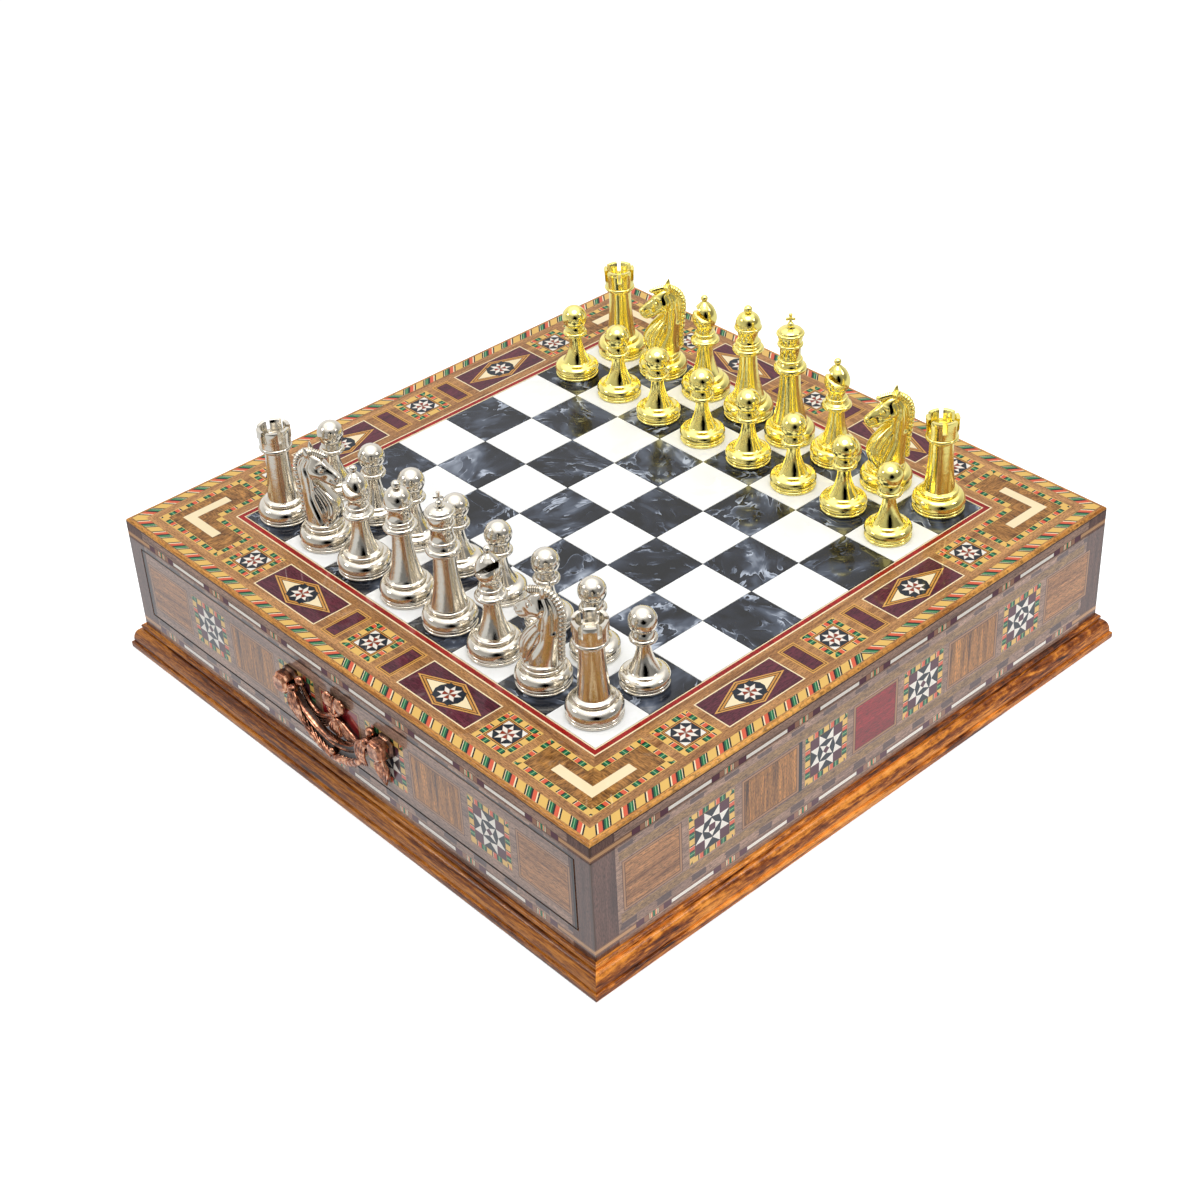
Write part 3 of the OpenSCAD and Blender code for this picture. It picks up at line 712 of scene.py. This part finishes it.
def bead(r, z, h):
    """A half-round ring whose outermost radius is r, centred on height z."""
    return arc(r - h / 2, z, h / 2, h / 2, -90, 90, 10)


def ball(r, z, start):
    """A ball on the axis, from the angle where it meets what is under it up to its pole."""
    return arc(0, z, r, r, start, 90, 24)


def foot(r, r_top, bell_h):
    """Two rings and a bell that rises by bell_h to radius r_top."""
    return [[(0, 0), (r - 1, 0)], bead(r - 0.2, 1, 1.7), bead(r - 0.4, 2.9, 1.5),
            [(r - 1.2, 4.1), (r, 4.8)], arc(r_top, 4.8, r - r_top, bell_h, 15, 75, 12)]


def officer_foot():
    """The foot of all but the pawns, with a second ring on its bell."""
    return foot(14.4, 10.6, 5) + [[(10, 9.9)], bead(10.6, 11, 2), [(9.2, 12.2)]]


def neck(r0, r1, z0, z1):
    """A neck that narrows from r0 to r1 in a hollow curve between two heights."""
    t = np.linspace(0, 1, 20)
    return np.stack([r1 + (r0 - r1) * (1 - t) ** 2, z0 + (z1 - z0) * t], 1)


def collar(r0, r, z, h):
    """A flaring collar on top of a neck of radius r0, out to radius r and h high."""
    return [[(r0 + 0.6, z + 0.5), (r - h / 2 - 0.3, z + 1.2)], bead(r, z + 1.4 + h / 2, h)]


def officer(r0, r1, top, collar_r, collar_h):
    """An officer up to its collar, whose neck narrows from r0 to r1 and ends at height top."""
    return officer_foot() + [neck(r0, r1, 12.6, top)] + collar(r1, collar_r, top, collar_h)


def pawn():
    """A round head on a collar."""
    top = 24.5
    return lathe(foot(12.8, 8.4, 3.6) + [neck(8, 3.5, 8.6, top)] + collar(3.5, 7, top, 3) + [
        [(5.8, top + 4.6), (5.6, top + 6.6)], ball(7.2, top + 12.8, -46)])


def rook():
    """A turned tower whose rim drops to the slots' floor at six places round it."""
    top, crown, well_depth, floor_h, slot_w, rim_r, lip = 41.2, 55.8, 7, 0.7, 2.2, 7.5, 0.004
    well, sixth = crown - well_depth, np.pi / 3
    half_slot = math.asin(slot_w / 2 / rim_r)
    r, z = np.hsplit(outline(officer(8.4, 6.5, top, 8.9, 2.6) + [
        [(8.4, top + 4.3), (8.5, well), (8.6, well + 0.8), (8.8, crown - 2.6), (9.0, crown - 0.5),
         (8.8, crown), (7.1, crown), (6.9, crown - 0.2), (6.7, well + 0.8), (6.4, well), (0, well)]]), 2)
    steps = np.concatenate([
        [-half_slot - lip, -half_slot + lip], np.linspace(-half_slot, half_slot, 5)[1:-1],
        [half_slot - lip, half_slot + lip], np.linspace(0, sixth, 14)[3:-3]])
    a = np.concatenate([steps + turn for turn in np.arange(6) * sixth])
    cut = np.abs((a + sixth / 2) % sixth - sixth / 2) < half_slot
    z = z + 0 * a
    z = np.where(cut & (z > well + floor_h), well + floor_h, z)
    return grid(np.stack([r * np.cos(a), r * np.sin(a), z], -1), wrap_columns=True)


def bishop():
    """A turned mitre: points within a slanted slice are pushed back to a plane, which leaves the notch."""
    top, mitre = 31.5, 43
    notch_w, notch_end, notch_from, slope = 3.1, -2.2, 3.6, math.radians(44)
    head = curve_through([(4.8, mitre), (6.5, mitre + 2.8), (7.1, mitre + 5.6), (6.7, mitre + 8.5),
                          (5.3, mitre + 11.8), (3.3, mitre + 14.3)], np.linspace(0, 1, 100))
    vertices, faces = lathe(officer(8, 4.3, top, 8.3, 3) + [
        [(6.2, top + 5)], bead(6.2, top + 7, 2.2), [(4.7, top + 9.5)], head,
        ball(2, mitre + 17.9, -60)], 120)
    x, _, z = vertices.T
    height = (z - mitre - notch_from) * math.cos(slope) - x * math.sin(slope)
    inside = (height > 0) & (height < notch_w) & (x > notch_end) & (z > mitre) & (z < mitre + 14)
    vertices[inside, 0] = notch_end
    vertices[inside, 1] *= 0.96
    return vertices, faces


def queen():
    """A cup under a dome and a small ball."""
    top, cup = 39.5, 48
    return lathe(officer(9, 5, top, 9, 3.4) + [
        [(7, top + 5.6)], bead(7.3, top + 7, 2.2), [(5.8, cup + 0.5), (5.6, cup + 3), (6.2, cup + 6)],
        bead(7.8, cup + 8, 2.4), arc(1.9, cup + 9.4, 5.3, 7.4, 0, 84, 16), ball(2.4, cup + 19, -56)])


def king():
    """A turned body under a small cross whose arms widen to rounded ends."""
    top, crown, cross = 42, 58.5, 75.2
    body = lathe(officer(9.5, 5.8, top, 9.2, 4) + [
        [(7, top + 6.2)], bead(7, top + 8.4, 2), [(5.8, top + 10), (5.8, crown)], bead(7.2, crown + 1.4, 2),
        [(6.4, crown + 2.8), (6.9, crown + 6.2)], bead(7.8, crown + 8, 1.9),
        arc(0, crown + 9.2, 6.8, 2.4, 0, 66, 8), [(2.4, crown + 12.2)], ball(1.8, crown + 13.2, -30)])
    t = np.linspace(-1, 1, 25)
    arm = blunt((t + 1) / 2, 8) * (0.62 + 0.55 * np.abs(t))
    return joined(body, sweep_at(0, 0, cross + 3.3 * t, arm, arm * 0.8),
                  sweep_at(2.7 * t, 0, cross, arm, arm * 0.8))


# A knight's side view, looking towards +X: front edge, back edge (each an x and a z), and half the width.
KNIGHT_SECTIONS = [
    (9.2, 13.6, -10.0, 13.6, 8.4), (10.8, 18.2, -10.1, 18.5, 8.2), (11.2, 22.3, -10.3, 23.5, 7.6),
    (9.9, 26.6, -10.7, 29.5, 6.7), (6.9, 31.0, -11.4, 36.2, 5.8), (3.0, 35.0, -12.0, 43.0, 5.0),
    (0.0, 37.8, -10.4, 49.4, 4.6), (0.3, 38.9, -6.4, 53.0, 4.5), (2.2, 38.6, -1.6, 53.6, 4.4),
    (4.6, 37.5, 2.9, 51.6, 4.1), (6.8, 36.5, 6.0, 48.4, 3.5), (8.8, 36.0, 9.0, 45.8, 3.0),
    (10.8, 36.9, 11.6, 43.8, 2.8), (12.4, 38.8, 13.2, 41.8, 2.1), (13.3, 40.2, 13.3, 40.6, 0.0)]


def knight():
    """A horse's head: ovals between its front and back edges, raised and hollowed by distance to lines."""
    edges = curve_through(KNIGHT_SECTIONS, np.linspace(0, 1, 190))
    front_x, front_z, back_x, back_z, half = edges.T[:, :, None]
    a = np.linspace(0, 2 * np.pi, 120, endpoint=False)
    c, s = np.cos(a), np.sin(a)
    x = (front_x + back_x) / 2 + (back_x - front_x) / 2 * c
    z = (front_z + back_z) / 2 + (back_z - front_z) / 2 * c
    y = np.maximum(half, 0) * np.sign(s) * np.abs(s) ** 0.8 * (1 - 0.16 * c)

    def near(line, width):
        """1 on a smooth line through side-view points, falling to 0 beside it as a bell of this width."""
        p = curve_through(line, np.linspace(0, 1, 50)) if len(line) > 1 else np.array(line, float)
        apart = np.hypot(x[..., None] - p[:, 0], z[..., None] - p[:, 1]).min(-1)
        return np.exp(-(apart / width) ** 2)

    # height and width of each swelling or groove: cheek and the hollow before it, eye and brow, nostril
    # and mouth, the groove before the mane, two folds of the neck, and the crest's groove
    relief = sum(height * near(line, width) for height, width, line in (
        (1.0, 4.4, [(-0.6, 43.4)]), (-0.6, 2.6, [(6.4, 41.6)]), (-0.9, 2.2, [(3.6, 46.8)]),
        (1.3, 1.1, [(3.9, 46.6)]), (0.6, 0.9, [(1.4, 48.6), (3.8, 49.3), (6.2, 47.6)]),
        (-0.7, 0.8, [(11.6, 41.3)]), (-0.6, 0.5, [(13, 39.4), (10.4, 39.5), (8.4, 40.4)]),
        (-1.5, 1.3, [(-3.2, 50.6), (-5.0, 46.0), (-3.6, 41.0), (-3.0, 35.0), (-2.2, 28.0), (1.6, 20.5),
                     (4.0, 15.5)]),
        (-1.2, 0.8, [(0.0, 35.4), (4.2, 30.5), (7.2, 25.0), (7.4, 19.0)]),
        (-1.2, 0.7, [(-1.2, 33.0), (1.8, 28.5), (4.4, 23.5), (5.6, 17.0)]),
        (-1.8, 1.1, [(-6.0, 51.8), (-8.8, 47.0), (-9.4, 41.0), (-9.2, 34.0)])))
    y = np.sign(y) * np.maximum(np.abs(y) + relief * np.abs(s), 0)
    head = grid(capped(np.stack([x, y, z], -1)), wrap_columns=True)

    # the plaited mane down the back, the forelock's comb and the two ears
    t = np.linspace(0, 1, 240)
    spine_x, spine_z = curve_through([
        (-1.6, 54.2), (-6.6, 53.6), (-10.8, 49.8), (-12.6, 43.5), (-12.2, 36.0), (-11.4, 28.0),
        (-11.0, 21.0), (-11.2, 15.6)], t).T
    plait = blunt(t, 12) * (2.5 - 0.7 * t) * (0.72 + 0.28 * np.abs(np.sin(21 * np.pi * t ** 0.85)) ** 0.6)
    mane = sweep_at(spine_x, 0, spine_z, plait * 0.95, plait, 20)
    t = np.linspace(0, 1, 90)
    teeth = blunt(t, 8) * (1.25 + 0.35 * np.sign(np.sin(13 * np.pi * t)))
    comb = sweep_at(5.4 - 7.6 * t, 0, 52.2 + 2.2 * t ** 0.4, teeth + 0.7, teeth * 1.2)
    t = np.linspace(0, 1, 24)
    ear = np.sin(np.pi * t ** 0.6) ** 0.7
    ears = [sweep_at(-3.8 - 1.2 * t, side * (2.3 + 1.0 * t), 51.5 + 7.2 * t, 1.7 * ear, 1.1 * ear)
            for side in (-1, 1)]
    base = lathe(officer_foot() + [bead(9.9, 13.2, 2), [(8.6, 14.3), (0, 14.6)]])
    return joined(base, head, mane, comb, *ears)


def placed(shape, node, turn):
    """A man turned about its own axis and stood where its CAD node stands."""
    low, high = box_mm(node)
    return turned_about_z(shape, turn, ((low[0] + high[0]) / 2, (low[1] + high[1]) / 2, low[2]))


OFFICERS = ("rook", "knight", "bishop", "queen", "king", "bishop", "knight", "rook")
SHAPES = {"pawn": pawn(), "rook": rook(), "knight": knight(), "bishop": bishop(), "queen": queen(),
          "king": king()}
# how far each kind of man is turned from facing +X, and the men that stand otherwise
TURNS = {"pawn": -42, "rook": -42, "knight": 234, "bishop": 236, "queen": -42, "king": 48}
TURNED = {"silver_rook_a": -72, "silver_rook_h": -72, "silver_knight_b": 26, "silver_knight_g": 200,
          "silver_bishop_c": 236, "silver_bishop_f": 358}
for metal in ("silver", "gold"):
    for kind, letter in list(zip(OFFICERS, FILES)) + [("pawn", letter) for letter in FILES]:
        node = f"{metal}_{kind}_{letter}"
        turn = TURNED.get(node, TURNS[kind])
        piece(node + "_cast", placed(SHAPES[kind], node, turn), MATERIALS[metal], node, [node],
              sharp=30 if kind == "bishop" else 50)


# ---- drawer linings ----

def lining():
    """A tray as one height over a grid: a half-round ridge along each wall's middle line, flat between."""
    low, high = box_mm("front_drawer_lining")
    wall, floor_t, cells, long_cell, cove_r = 3.0, 1.5, 4, 81.0, 1.2
    lines_x = np.linspace(low[0] + wall / 2, high[0] - wall / 2, cells + 1)
    lines_y = np.array([low[1] + wall / 2, low[1] + wall * 1.5 + long_cell, high[1] - wall / 2])
    steps = np.array([0, 0.4, 0.8, 1.1, 1.3, 1.45, wall / 2, wall / 2 + 0.04, wall / 2 + 0.3,
                      wall / 2 + cove_r])

    def spots(lines):
        every = np.concatenate([lines[:, None] + steps, lines[:, None] - steps], None)
        return np.unique(np.clip(every, lines[0] - wall / 2, lines[-1] + wall / 2).round(4))

    x, y = np.meshgrid(spots(lines_x), spots(lines_y))
    apart = np.minimum(np.abs(x[..., None] - lines_x).min(-1), np.abs(y[..., None] - lines_y).min(-1))
    ridge = high[2] - wall / 2 + np.sqrt(np.clip((wall / 2) ** 2 - apart ** 2, 0, None))
    cove = low[2] + floor_t + cove_r * np.clip(1 - (apart - wall / 2) / cove_r, 0, 1) ** 2
    z = np.where(apart <= wall / 2 + 1e-6, ridge, cove)
    top = np.pad(np.stack([x, y, z], -1), ((1, 1), (1, 1), (0, 0)), mode="edge")
    top[[0, -1], :, 2] = top[:, [0, -1], 2] = low[2]
    return joined(grid(top), grid(np.stack([x, y, 0 * x + low[2]], -1)))


tray = lining()
for end, turn in ENDS.items():
    piece(f"{end}_lining_velvet", turned_about_z(tray, turn), MATERIALS["velvet"], f"{end}_drawer",
          [f"{end}_drawer_lining"])


# ---- drawer handles: x is across the drawer, h the height and d the distance out from its face ----

POST_OUT, POST_W, POST_X, PIVOT_OUT, BALL_R, BALL_GAP = 9.4, 11.0, 39.0, 6.2, 3.0, 0.25
PIVOT_H = (box_mm("front_handle_posts")[0][2] + box_mm("front_handle_posts")[1][2]) / 2
BALL_X = POST_X - POST_W / 2 - BALL_GAP - BALL_R
STRAP_DROP, STRAP_INSET = 24.5, 0.2
STRAP_REACH = BALL_X + BALL_R - STRAP_INSET
OUTWARD = (0, -1, 0)


def on_face(x, h, d):
    """Points in front of the front drawer's face, with heights counted from the handle's pivot."""
    x, h, d = np.broadcast_arrays(x, h, d)
    return np.stack([x, -HALF - d, PIVOT_H + h], -1)


def rib(points, across, over, start=0.5, stop=0.25, count=40):
    """One rounded rib through points (x, h, d), swollen in the middle."""
    t = crowded(count)
    x, h, d = curve_through(points, t).T
    width = tapered(t, start, stop)
    return sweep(on_face(x, h, d), across * width, over * width, OUTWARD, 12)


def mirrored(shells):
    """The shells and their mirror images across the middle of the handle."""
    return list(shells) + [(v * [-1, 1, 1], f) for v, f in shells]


def egg(x, h, d, half_x, half_h, half_d, lobes=0, depth=0.0):
    """An ovoid whose radius swells and sinks with the angle round the outward axis."""
    a = np.linspace(0, 2 * np.pi, 48, endpoint=False)
    b = np.linspace(-np.pi / 2, np.pi / 2, 20)[:, None]
    swell = (1 + depth * np.abs(np.sin(lobes * a / 2))) * np.cos(b)
    points = on_face(x + half_x * swell * np.cos(a), h + half_h * swell * np.sin(a), d + half_d * np.sin(b))
    return grid(points, wrap_columns=True)


def strap_line(x, reach, drop):
    """Height under the pivot of a circle that passes the pivot's level at reach and hangs down to drop."""
    r = (reach ** 2 + drop ** 2) / (2 * drop)
    return r - drop - np.sqrt(np.maximum(r ** 2 - x ** 2, 0))


def handle_plate():
    """Swags from a knob by each post to a middle knot, a leaf under it, a crest of shells and leaf drops."""
    parts = []
    for j in range(5):
        drop, across, over = (0, 1.75, 1.5) if j == 0 else (1.3 + 1.4 * j, 0.78, 0.95)
        parts.append(rib([(0.6, -3.2 - 0.35 * drop, 3.0), (4.8, -4.4 - 0.8 * drop, 2.6),
                          (10.8, -8 - drop, 2.3), (17, -9.4 - drop, 2.2), (23.4, -6.4 - 0.9 * drop, 2.2),
                          (28.8, 1.6 - 0.9 * drop, 2.0)], across, over, 0.5, 0.7))
    for j in range(3):
        x = 0.5 + 1.75 * j
        parts.append(rib([(0.3 + 0.3 * j, -4.6, 3.2), (x * 0.9, -8.5, 3.4), (x, -12.5, 3.0),
                          (x * 0.6, -17.6 + 1.5 * j, 1.8)], 0.85, 1.3))
    # knobs by the posts, the crest's shells, and the curls that tie them to the knot
    parts.append(egg(29.2, 3.3, 2.4, 3.2, 3.2, 2.4))
    parts.append(egg(4.7, 5.8, 2.6, 3.9, 4.2, 2.2, 7, 0.12))
    parts.append(egg(4.7, 5.8, 3.8, 2.0, 2.2, 1.1))
    parts.append(rib([(6.6, 3.0, 2.0), (4.2, 1.0, 3.0), (2.0, -0.6, 3.2), (0.4, -3.0, 3.2)], 1.0, 1.2))
    parts.append(rib([(1.1, 9.0, 1.8), (0.8, 6.2, 2.8), (0.9, 2.4, 3.2), (0.3, -2.2, 3.2)], 0.75, 1.1))
    # leaf drops under the posts
    for j in range(-2, 3):
        lean = j * 1.5
        parts.append(rib([(37.0 + lean * 0.5, -4.4, 2.0), (36.8 + lean * 0.8, -9.5, 3.2),
                          (36.2 + lean * 1.6, -15, 3.0), (35.8 + lean * 1.1, -21, 2.4),
                          (35.4 + lean * 0.3, -27.2, 1.4)], 0.95, 1.4, 0.6, 0.2))
    # the sheet behind them all
    x = np.linspace(-35, 35, 71)
    top = np.interp(np.abs(x), [0, 5, 10.8, 17, 23.4, 28, 35], [-3.4, -4.6, -8.2, -9.6, -6.6, 0, 1.5])
    v = np.linspace(0, 1, 7)[:, None]
    h = top - v * (5.6 + 6.0 * np.exp(-(x / 4.5) ** 2))
    sheet = np.concatenate([on_face(x, h, 1.3), on_face(x, h[::-1], 0.2)]).transpose(1, 0, 2)
    knot = egg(0, -3.4, 3.2, 1.8, 2.3, 1.7)
    return joined(*mirrored(parts), grid(capped(sheet), wrap_columns=True), knot)


def handle_posts():
    """Eight-sided blocks carried outwards, waisted behind and bevelled in front."""
    d = np.array([0, 0, 1.4, 2.0, 2.6, 4.0, 7.5, 7.8, 9.2, POST_OUT, POST_OUT, POST_OUT])[:, None]
    size = np.array([0, 1.10, 1.14, 1.02, 0.94, 1.0, 1.0, 0.98, 0.74, 0.70, 0.5, 0])[:, None]
    flat, corner = POST_W / 2, POST_W / 2 - 2.4
    x = np.array([corner, flat, flat, corner, -corner, -flat, -flat, -corner])
    h = np.array([-flat, -corner, corner, flat, flat, corner, -corner, -flat])
    return joined(*mirrored([grid(on_face(POST_X + size * x, size * h, d), wrap_columns=True)]))


def handle_strap():
    """A hollowed strap between two hanging circles, with a ridge along it and a rail on either edge."""
    half, inner_drop = 31.4, 13.5
    x = half * np.sin(np.linspace(-np.pi / 2, np.pi / 2, 120))[:, None]
    outer = strap_line(x, STRAP_REACH, STRAP_DROP)
    inner = np.minimum(strap_line(x, BALL_X - BALL_R + STRAP_INSET, inner_drop), 0)
    w = np.array([-1, -1, -0.96, -0.9, -0.83, -0.74, -0.5, -0.2, 0.1, 0.25,
                  0.33, 0.41, 0.54, 0.7, 0.82, 0.9, 0.96, 1, 1])
    d = np.array([-1.9, 0.9, 1.5, 1.8, 1.4, 0.3, -0.6, -0.8, -0.6, 0.2,
                  1.2, 0.2, -0.4, -0.4, 0.3, 1.4, 1.7, 0.9, -1.9])
    closing = blunt((x / half + 1) / 2, 24)
    h = (outer + inner) / 2 + (inner - outer) / 2 * w * closing
    return grid(on_face(x + 0 * w, h, PIVOT_OUT + d * closing), wrap_columns=True)


def handle_bail():
    """Two balls on pins, with a ribbed cap under each and a leafy swag along the strap's foot."""
    t = crowded(12)
    pin = 1.35 * blunt(t, 20)
    parts = [egg(BALL_X, 0, PIVOT_OUT, BALL_R, BALL_R, BALL_R),
             sweep(on_face(BALL_X + (POST_X - BALL_X) * t, 0, PIVOT_OUT), pin, pin, OUTWARD, 16)]
    for j in range(4):
        parts.append(rib([(31.8 - 1.3 * j, 2.6 - 0.6 * j, 7.6), (30.4 - 1.9 * j, -2.6, 8.3),
                          (29.2 - 2.0 * j, -9.2, 8.1), (29.4 - 1.9 * j, -15.4 - 0.9 * j, 6.6)],
                         0.95, 1.0, 0.5, 0.4))
    for j in range(8):
        start = 28.0 - 3.2 * j
        end = max(start - 11, -1.5)
        edge, below = strap_line(np.array([start, end]), STRAP_REACH, STRAP_DROP)
        mid_x, mid_h = (start + end) / 2, (edge + below) / 2
        parts.append(rib([(start, edge + 1.8, 6.2), (mid_x + 1.6, mid_h - 0.2, 7.5),
                          (mid_x - 1.8, mid_h - 2.0, 7.5), (end, below - 3.9, 6.0)],
                         1.7, 1.2, 0.5, 0.2, 24))
    return joined(*mirrored(parts), egg(0, -22.6, 7.0, 2.0, 2.3, 1.8), egg(0, -26.4, 6.4, 1.3, 2.2, 1.2))


# the two heights out from the drawer's face: below the first a casting is near black with painted shade,
# from the second it has full colour
CASTINGS = [
    ("plate", handle_plate(), antique_copper("copper_plate", 0.8, 3.4), "drawer", "handle_plate", 60),
    ("posts", handle_posts(), antique_copper("copper_posts", 0.0, 7.4), "drawer", "handle_posts", 25),
    ("bail", handle_bail(), antique_copper("copper_bail", 4.6, 8.2), "bail", "handle_bail", 60),
    ("strap", handle_strap(), antique_copper("copper_strap", 6.3, 7.5), "bail", "handle_bail", 60)]
for end, turn in ENDS.items():
    for name, shape, material, body, node, sharp in CASTINGS:
        piece(f"{end}_handle_{name}_cast", turned_about_z(shape, turn), material, f"{end}_{body}",
              [f"{end}_{node}"], sharp)


# ---- top board and plinth ----

def top_board():
    """The board's section: well for the squares, margin, groove for the mosaic and a rounded rim."""
    low, mosaic_in, rim = BOARD_Z - VENEER, 149.6, 1.7
    return square_ring([
        [(0, low), (STRINGING_OUT, low), (STRINGING_OUT, BOARD_Z), (mosaic_in, BOARD_Z), (mosaic_in, low),
         (MOSAIC_OUT, low), (MOSAIC_OUT, BOARD_Z)],
        arc(HALF - rim, BOARD_Z - rim, rim, rim, 90, 0, 10),
        [(HALF, TOP_Z), (0, TOP_Z)]], wrap=False)


def plinth():
    """The moulding's section: a flat foot band, a step, a broad quarter round, a groove and a bead."""
    width, h, out = 14, PLINTH_H, PLINTH_HALF
    return square_ring([
        [(HALF - width, 0), (out - 0.8, 0)],
        arc(out - 0.8, 0.8, 0.8, 0.8, -90, 0, 5),
        arc(out - 0.7, 3.4, 0.7, 0.7, 0, 90, 5),
        [(out - 1.3, 4.1), (out - 1.3, 4.6)],
        arc(HALF + 2.3, 4.6, out - HALF - 3.5, h - 7.6, 8, 86, 16),
        [(HALF + 1.7, h - 3.0), (HALF + 1.4, h - 2.4)],
        arc(HALF + 1.2, h - 1.2, 1.2, 1.2, -70, 90, 10),
        [(HALF - width, h)]])


piece("top_board", top_board(), MATERIALS["walnut"], "case", ["top_panel"], 30)
piece("plinth_lengths", plinth(), MATERIALS["plinth_walnut"], "case",
      ["plinth_moulding"], 30)


# ---- camera, light and floor ----

def add_camera():
    """A long lens above the corner between the front and the right side."""
    azimuth, elevation, roll = (math.radians(a) for a in (48.2231, 35.3675, -2.4671))
    data = bpy.data.cameras.new("camera")
    data.sensor_width = 36
    data.lens = 65.46
    data.shift_x, data.shift_y = -0.0221, -0.0157
    data.clip_start, data.clip_end = 0.05, 50
    camera = added("camera", data)
    place = Matrix.Translation((0.73468, -0.64738, 0.73669))
    aim = Matrix.Rotation(azimuth, 4, "Z") @ Matrix.Rotation(math.pi / 2 - elevation, 4, "X")
    camera.matrix_world = place @ aim @ Matrix.Rotation(roll, 4, "Z")
    bpy.context.scene.camera = camera


def add_lamp(name, place, size, watts):
    """A round soft lamp that looks at the middle of the box."""
    data = bpy.data.lights.new(name, "AREA")
    data.shape = "DISK"
    data.size = size
    data.energy = watts
    lamp = added(name, data)
    lamp.location = place
    lamp.rotation_euler = (Vector((0, 0, 0.05)) - Vector(place)).to_track_quat("-Z", "Y").to_euler()


def from_viewer(x, y):
    """How far a place or a direction lies towards the viewer, and how far to the viewer's right."""
    return x * 0.745 - y * 0.667, x * 0.667 + y * 0.745


def add_world():
    """White to the eye and plain light; in reflections grey, bright above and beyond, dark at the viewer."""
    world = bpy.data.worlds.new("studio")
    bpy.context.scene.world = world
    sh = Shader("studio", world)
    x, y, z = sh.split(sh.node("ShaderNodeTexCoord", output="Generated"))
    facing, side = from_viewer(x, y)
    beyond = sh.rise(facing, 0.1, -0.9, 0.0, 0.6)
    ceiling = sh.rise(z, 0.56, 0.82)
    shade = sh.rise(abs(side - 0.06) + abs(z - 0.22) * 0.8, 0.26, 0.6, 1.0, 0.0)
    level = 0.42 + ceiling + beyond - side * (1 - z) * 0.2 - shade * (facing > 0) * 0.42
    grey = sh.node("ShaderNodeCombineColor", inputs={0: level, 1: level, 2: level})
    mirrored_room, room, pale = (
        sh.node("ShaderNodeBackground", inputs={0: colour, 1: strength})
        for colour, strength in ((grey, 1.0), ((0.96, 0.98, 1, 1), 0.6), ((1, 1, 1, 1), 1.0)))
    surroundings = sh.by_ray("Camera", sh.by_ray("Glossy", room, mirrored_room), pale)
    sh.node("ShaderNodeOutputWorld", inputs={0: surroundings})


def add_floor():
    """White to the eye but for the box's faint shadow; in reflections bright, and darker near the viewer."""
    sh = Shader("floor")
    facing, side = from_viewer(sh.x, sh.y)
    near_viewer = sh.rise(facing - abs(side) * 0.7, 240, 360)
    far = sh.rise((sh.x * sh.x + sh.y * sh.y).math("SQRT"), 600, 1400)
    matt, dull = (sh.node("ShaderNodeBsdfDiffuse", inputs={0: colour})
                  for colour in ((0.9, 0.9, 0.9, 1), (0.74, 0.74, 0.76, 1)))
    bright, dark, glow, white = (
        sh.node("ShaderNodeEmission", inputs={0: colour, 1: strength})
        for colour, strength in (((0.94, 0.97, 1, 1), 0.85), ((0.94, 0.97, 1, 1), 0.25),
                                 ((1, 1, 1, 1), 0.5), ((1, 1, 1, 1), 1.0)))
    seen = sh.mixed(far, sh.node("ShaderNodeAddShader", inputs={0: matt, 1: glow}), white)
    bounced = sh.by_ray("Glossy", dull, sh.mixed(near_viewer, bright, dark))
    sh.node("ShaderNodeOutputMaterial", inputs={0: sh.by_ray("Camera", bounced, seen)})
    half = 6.0
    mesh = bpy.data.meshes.new("floor")
    mesh.from_pydata([(-half, -half, 0), (half, -half, 0), (half, half, 0), (-half, half, 0)], [],
                     [(0, 1, 2, 3)])
    mesh.materials.append(sh.material)
    added("floor", mesh)


add_camera()
add_lamp("overhead", (0.3, -0.2, 1.8), 1.3, 15)
add_lamp("left", (-1.0, -1.3, 1.1), 0.4, 3.5)
add_lamp("right", (1.3, 0.85, 1.2), 0.4, 3.5)
add_world()
add_floor()
bpy.context.scene.view_settings.view_transform = "Standard"
